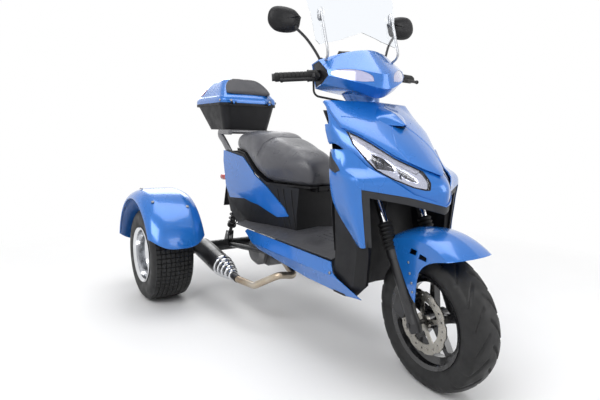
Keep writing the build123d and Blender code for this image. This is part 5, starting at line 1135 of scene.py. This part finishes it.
def make_lid_pad():
    low, high = Vector((4, 0, 1034.5)), Vector((-100, 0, 1140))
    run = high - low
    along = run.normalized()
    out = Vector((0, 1, 0)).cross(along)
    if out.x < 0:
        out = -out
    rows = []
    for t, half, thick in PAD_ROWS:
        row = [(-y * half, h * thick) for y, h in PAD_SECTION]
        row += [(-y, h) for y, h in reversed(row[:-1])]
        row += [(half * 0.9, -2.0), (0, -2.0), (-half * 0.9, -2.0)]
        base = low + along * (run.length * t)
        rows.append([tuple(base + Vector((0, y, 0)) + out * h) for y, h in row + row[:1]])
    pad = cushion("lid_pad_padded", tube_mesh("lid_pad_base", grid_through(rows, (3, 2)), "grey_pad"), 4.0, 3.0,
                  "grey_pad", 4)
    settle(pad, "box_lid_body", 60)
    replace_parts(pad, "lid_pad")


# Shock absorbers: a wound spring over a damper on each side. The damper's places are shares of its length
DAMPER = [(0.1, 0), (9, 0), (9, 0.13), (24, 0.14), (24, 0.165), (14, 0.17), (14, 0.55), (6, 0.56), (6, 0.83),
          (24, 0.835), (24, 0.86), (10, 0.87), (9, 1), (0.1, 1)]
EYE = [(0.1, -10), (14, -10), (15, -8), (15, 8), (14, 10), (0.1, 10)]
PIN = [(0.1, -16), (7, -16), (8, -15), (8, 15), (7, 16), (0.1, 16)]
SPRING_RADIUS, SPRING_WIRE, SPRING_TURNS, TURN_STEPS = 20.5, 3.6, 9, 20


def make_shocks():
    for side, name in SIDES:
        foot, top = Vector((36, side * 137, 300)), Vector((176, side * 137, 612.5))
        run = top - foot
        turn = run.to_track_quat("Z", "Y").to_matrix()
        line = []
        for k in range(SPRING_TURNS * TURN_STEPS + 1):
            a = 2 * math.pi * k / TURN_STEPS
            up = run.length * (0.17 + 0.66 * k / (SPRING_TURNS * TURN_STEPS))
            round_about = Vector((math.cos(a), math.sin(a), 0)) * SPRING_RADIUS
            line.append(tuple(foot + turn @ (round_about + Vector((0, 0, up)))))
        cord_line("shock_spring_" + name, line, SPRING_WIRE, "black_steel", "chassis")
        body = [(r, share * run.length) for r, share in DAMPER]
        parts = [turned_piece("damper", body, foot, top, "black_steel", 32)]
        for spot in (foot, top):
            beside = spot + Vector((0, 1, 0))
            parts.append(turned_piece("eye", EYE, spot, beside, "black_steel", 32))
            parts.append(turned_piece("pin", PIN, spot, beside, "bolt", 24))
        damper = joined("shock_damper_" + name, parts)
        settle(damper, "chassis", 40)
        if side < 0:
            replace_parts(damper, "shock_absorbers")


# Ribs of the seat pedestal, each from a top to a foot (x, z)
PEDESTAL_RIBS = [((520, 592), (600, 386)), ((560, 594), (632, 386)), ((612, 596), (655, 392))]


def make_ribs(pedestal):
    tree = surface_tree(pedestal)
    for k, (top, low) in enumerate(PEDESTAL_RIBS):
        for side, name in SIDES:
            rays = [((top[0] + (low[0] - top[0]) * t ** 1.3, side * 400, top[1] + (low[1] - top[1]) * t),
                     (0, -side, 0)) for t in np.linspace(0, 1, 14)]
            line = hits(tree, rays, 0.6, ORIGIN_X)
            if len(line) > 3:
                rib = f"pedestal_rib_{name}_{k + 1}"
                cord_line(rib, line, 2.2, "black_plastic", "chassis")


# Muffler rings, and the screws on the fenders and panels
MUFFLER_RINGS = ((0.60, 50.0), (0.665, 45.5), (0.73, 39.5), (0.795, 33.0), (0.86, 25.0))
FENDER_TOP = 328.5


def make_trim():
    start, end = Vector((66, -312, 250)), Vector((485, -312, 188))
    rings = []
    for share, r in MUFFLER_RINGS:
        section = [(r - 14, -1), (r - 3, 0), (r, 3), (r + 0.8, 8), (r, 15), (r - 4, 19), (r - 14, 20)]
        rings.append(turned_piece("ring", section, start + (end - start) * share, end, "polished_alloy", 48))
    settle(joined("muffler_rings", rings), "chassis")
    bolts = []
    for side in (-1, 1):
        for angle, y in ((52, 438), (128, 438), (60, 590), (120, 590), (93, 592)):
            a = math.radians(angle)
            away = Vector((math.cos(a), 0, math.sin(a)))
            bolts.append(bolt(Vector((0, side * y, REAR_RADIUS)) + away * FENDER_TOP, away, 7.5, 4.0))
        bolts.append(bolt((1052, side * 231.5, 352), (0, side, 0.1), 5.5, 3.0))
    settle(joined("body_screws", bolts), "chassis")
    legs = [bolt((x, side * 93.6, z), (0, side, 0), 4.5, 2.6) for side in (-1, 1)
            for x, z in ((1336, 345), (1331, 374), (1322, 404), (1316, 440))]
    settle(joined("fender_screws", legs), "steering")


# Raised crease lines on the hood (y, z), laid on its face from ahead
HOOD_CREASES = [[(-26, 880), (-62, 838), (-82, 790), (-72, 750), (-30, 722)],
                [(-186, 902), (-140, 898), (-86, 884)]]


def make_creases():
    tree = surface_tree(bpy.data.objects["hood"])
    for side, name in ((1, "right"), (-1, "left")):
        for number, line in enumerate(HOOD_CREASES):
            rays = [((3000, side * y, z), (-1, 0, 0)) for y, z in curve_through(line, 8)]
            points = hits(tree, rays, -0.6, ORIGIN_X)
            cord_line(f"hood_crease_{name}_{number + 1}", points, 2.0, "blue_paint", "chassis")


make_cover()
make_scoop()
make_lamps()
make_rear_fenders()
make_front_fender()
make_flares()
make_inner_shield()
make_rail()
make_cowl()
make_mirrors()
make_lid()
for side, name in SIDES:
    make_rear_tyre(side, name)
make_front_tyre()
make_seat()
make_lid_pad()
make_shocks()
make_trim()
make_creases()

# Finished copies of the other hard-edged parts, each with the width of its rounded edges
for part, width in (("side_skirts", 1.6), ("rear_panels", 1.8), ("wheel_well", 1.4), ("floorboard", 1.4),
                    ("top_box", 1.5), ("fork_yoke", 2.0), ("instrument_panel", 2.0), ("plate_bracket", 1.2),
                    ("tail_lamp", 3.0), ("engine", 1.5), ("rear_subframe", 1.2), ("windshield", 0.6)):
    dress(part, width)
dress("brake_caliper", 2.0, "black_steel")
dress("windshield_rods", 0.8, "rod_silver")
make_ribs(dress("seat_pedestal", 1.4, "black_plastic"))


# Stage: pale floor, soft light, and the camera at the photograph's angle
def seen(tree, rays=("Is Camera Ray", "Is Glossy Ray", "Is Transmission Ray")):
    """One for a ray that the camera, a mirror or a clear part sees by."""
    path = add_node(tree, "LightPath")
    total = path.outputs[rays[0]]
    for ray in rays[1:]:
        larger = add_node(tree, "Math", "MAXIMUM")
        link(tree, total, larger.inputs[0])
        link(tree, path.outputs[ray], larger.inputs[1])
        total = larger.outputs["Value"]
    return total


def blend(tree, fac, first, second, target):
    """Ends a node tree with the second shader where fac is one, and the first elsewhere."""
    mix = add_node(tree, "MixShader")
    link(tree, fac, mix.inputs["Fac"])
    link(tree, first, mix.inputs[1])
    link(tree, second, mix.inputs[2])
    link(tree, mix.outputs["Shader"], target.inputs["Surface"])


def make_floor():
    """A pale floor that turns plain white away from the trike."""
    bpy.ops.mesh.primitive_plane_add(size=40, location=(0, 0, 0))
    floor = bpy.context.object
    floor.name = "floor"
    tree, s = new_material("floor")
    tones = [(0.3, (0.80, 0.80, 0.805)), (0.7, (0.86, 0.86, 0.86))]
    link(tree, ramp(tree, noise(tree, 0.4, 3.0).outputs["Fac"], tones).outputs["Color"], s.inputs["Base Color"])
    s.inputs["Roughness"].default_value = 0.85
    reach = add_node(tree, "VectorMath", "LENGTH")
    link(tree, add_node(tree, "TexCoord").outputs["Object"], reach.inputs[0])
    when = add_node(tree, "Math", "MULTIPLY")
    link(tree, remap(tree, reach.outputs["Value"], 1.2, 2.6, 0.0, 1.0), when.inputs[0])
    link(tree, seen(tree), when.inputs[1])
    blend(tree, when.outputs["Value"], s.outputs["BSDF"], add_node(tree, "Emission").outputs["Emission"],
          tree.nodes["Material Output"])
    paint(floor, "floor")
    return floor


def make_backdrop():
    """A round wall that lights the trike as pale grey and looks white."""
    bpy.ops.mesh.primitive_cylinder_add(vertices=96, radius=14, depth=12, location=(0, 0, 5.95),
                                        end_fill_type="NOTHING")
    backdrop = bpy.context.object
    backdrop.name = "backdrop"
    tree, _ = new_material("backdrop")
    tree.nodes.clear()
    plain = add_node(tree, "BsdfDiffuse")
    plain.inputs["Color"].default_value = (0.8, 0.8, 0.8, 1)
    blend(tree, seen(tree), plain.outputs["BSDF"], add_node(tree, "Emission").outputs["Emission"],
          add_node(tree, "OutputMaterial"))
    paint(backdrop, "backdrop")
    return backdrop


floor = make_floor()
backdrop = make_backdrop()


def make_world():
    """Grey sky that pales upward; it looks white to the camera and through clear parts."""
    world = bpy.data.worlds.new("studio")
    bpy.context.scene.world = world
    world.use_nodes = True
    tree = world.node_tree
    tree.nodes.clear()
    height = add_node(tree, "SeparateXYZ")
    link(tree, add_node(tree, "TexCoord").outputs["Generated"], height.inputs["Vector"])
    sky, plain = add_node(tree, "Background"), add_node(tree, "Background")
    tones = [(0.0, (0.42, 0.42, 0.43)), (0.35, (0.55, 0.56, 0.58)), (0.75, (1.0, 1.0, 1.0))]
    link(tree, ramp(tree, height.outputs["Z"], tones).outputs["Color"], sky.inputs["Color"])
    sky.inputs["Strength"].default_value = 0.75
    plain.inputs["Color"].default_value = (1, 1, 1, 1)
    blend(tree, seen(tree, ("Is Camera Ray", "Is Transmission Ray")), sky.outputs["Background"],
          plain.outputs["Background"], add_node(tree, "OutputWorld"))


def lamp(name, location, target, size, power):
    data = bpy.data.lights.new(name, "AREA")
    data.shape = "RECTANGLE"
    data.size, data.size_y = size
    data.energy = power
    o = put(name, data)
    o.location = location
    o.rotation_euler = (Vector(target) - Vector(location)).to_track_quat("-Z", "Y").to_euler()


make_world()
lamp("key", (1.6, -3.2, 3.4), (0.1, 0, 0.6), (2.6, 2.0), 95)
lamp("fill", (3.6, 1.8, 2.2), (0.3, 0, 0.6), (2.4, 2.0), 45)
lamp("top", (-0.3, 0.2, 4.2), (0, 0, 0.5), (3.0, 2.4), 60)
lamp("back", (-3.4, 0.8, 2.4), (-0.3, 0, 0.7), (2.2, 1.8), 40)

# Camera: place, direction, roll and focal length in pixels, fitted to the photograph
CAM = Vector((2.333 - ORIGIN, -1.225, 0.833))
AZ, EL, ROLL = math.radians(56.09), math.radians(7.812), math.radians(1.166)
FOCAL_PIXELS, IMAGE_PIXELS, SENSOR = 469.42, 600, 36


def make_camera():
    ahead = Vector((-math.sin(AZ) * math.cos(EL), math.cos(AZ) * math.cos(EL), -math.sin(EL)))
    level = Vector((math.cos(AZ), math.sin(AZ), 0))
    right = level * math.cos(ROLL) + level.cross(ahead) * math.sin(ROLL)
    turn = Matrix((right, right.cross(ahead), -ahead)).transposed().to_4x4()
    data = bpy.data.cameras.new("camera")
    data.lens = FOCAL_PIXELS / IMAGE_PIXELS * SENSOR
    data.sensor_width = SENSOR
    camera = put("camera", data)
    camera.matrix_world = Matrix.Translation(CAM) @ turn
    bpy.context.scene.camera = camera


make_camera()
bpy.context.scene.view_settings.view_transform = "Standard"
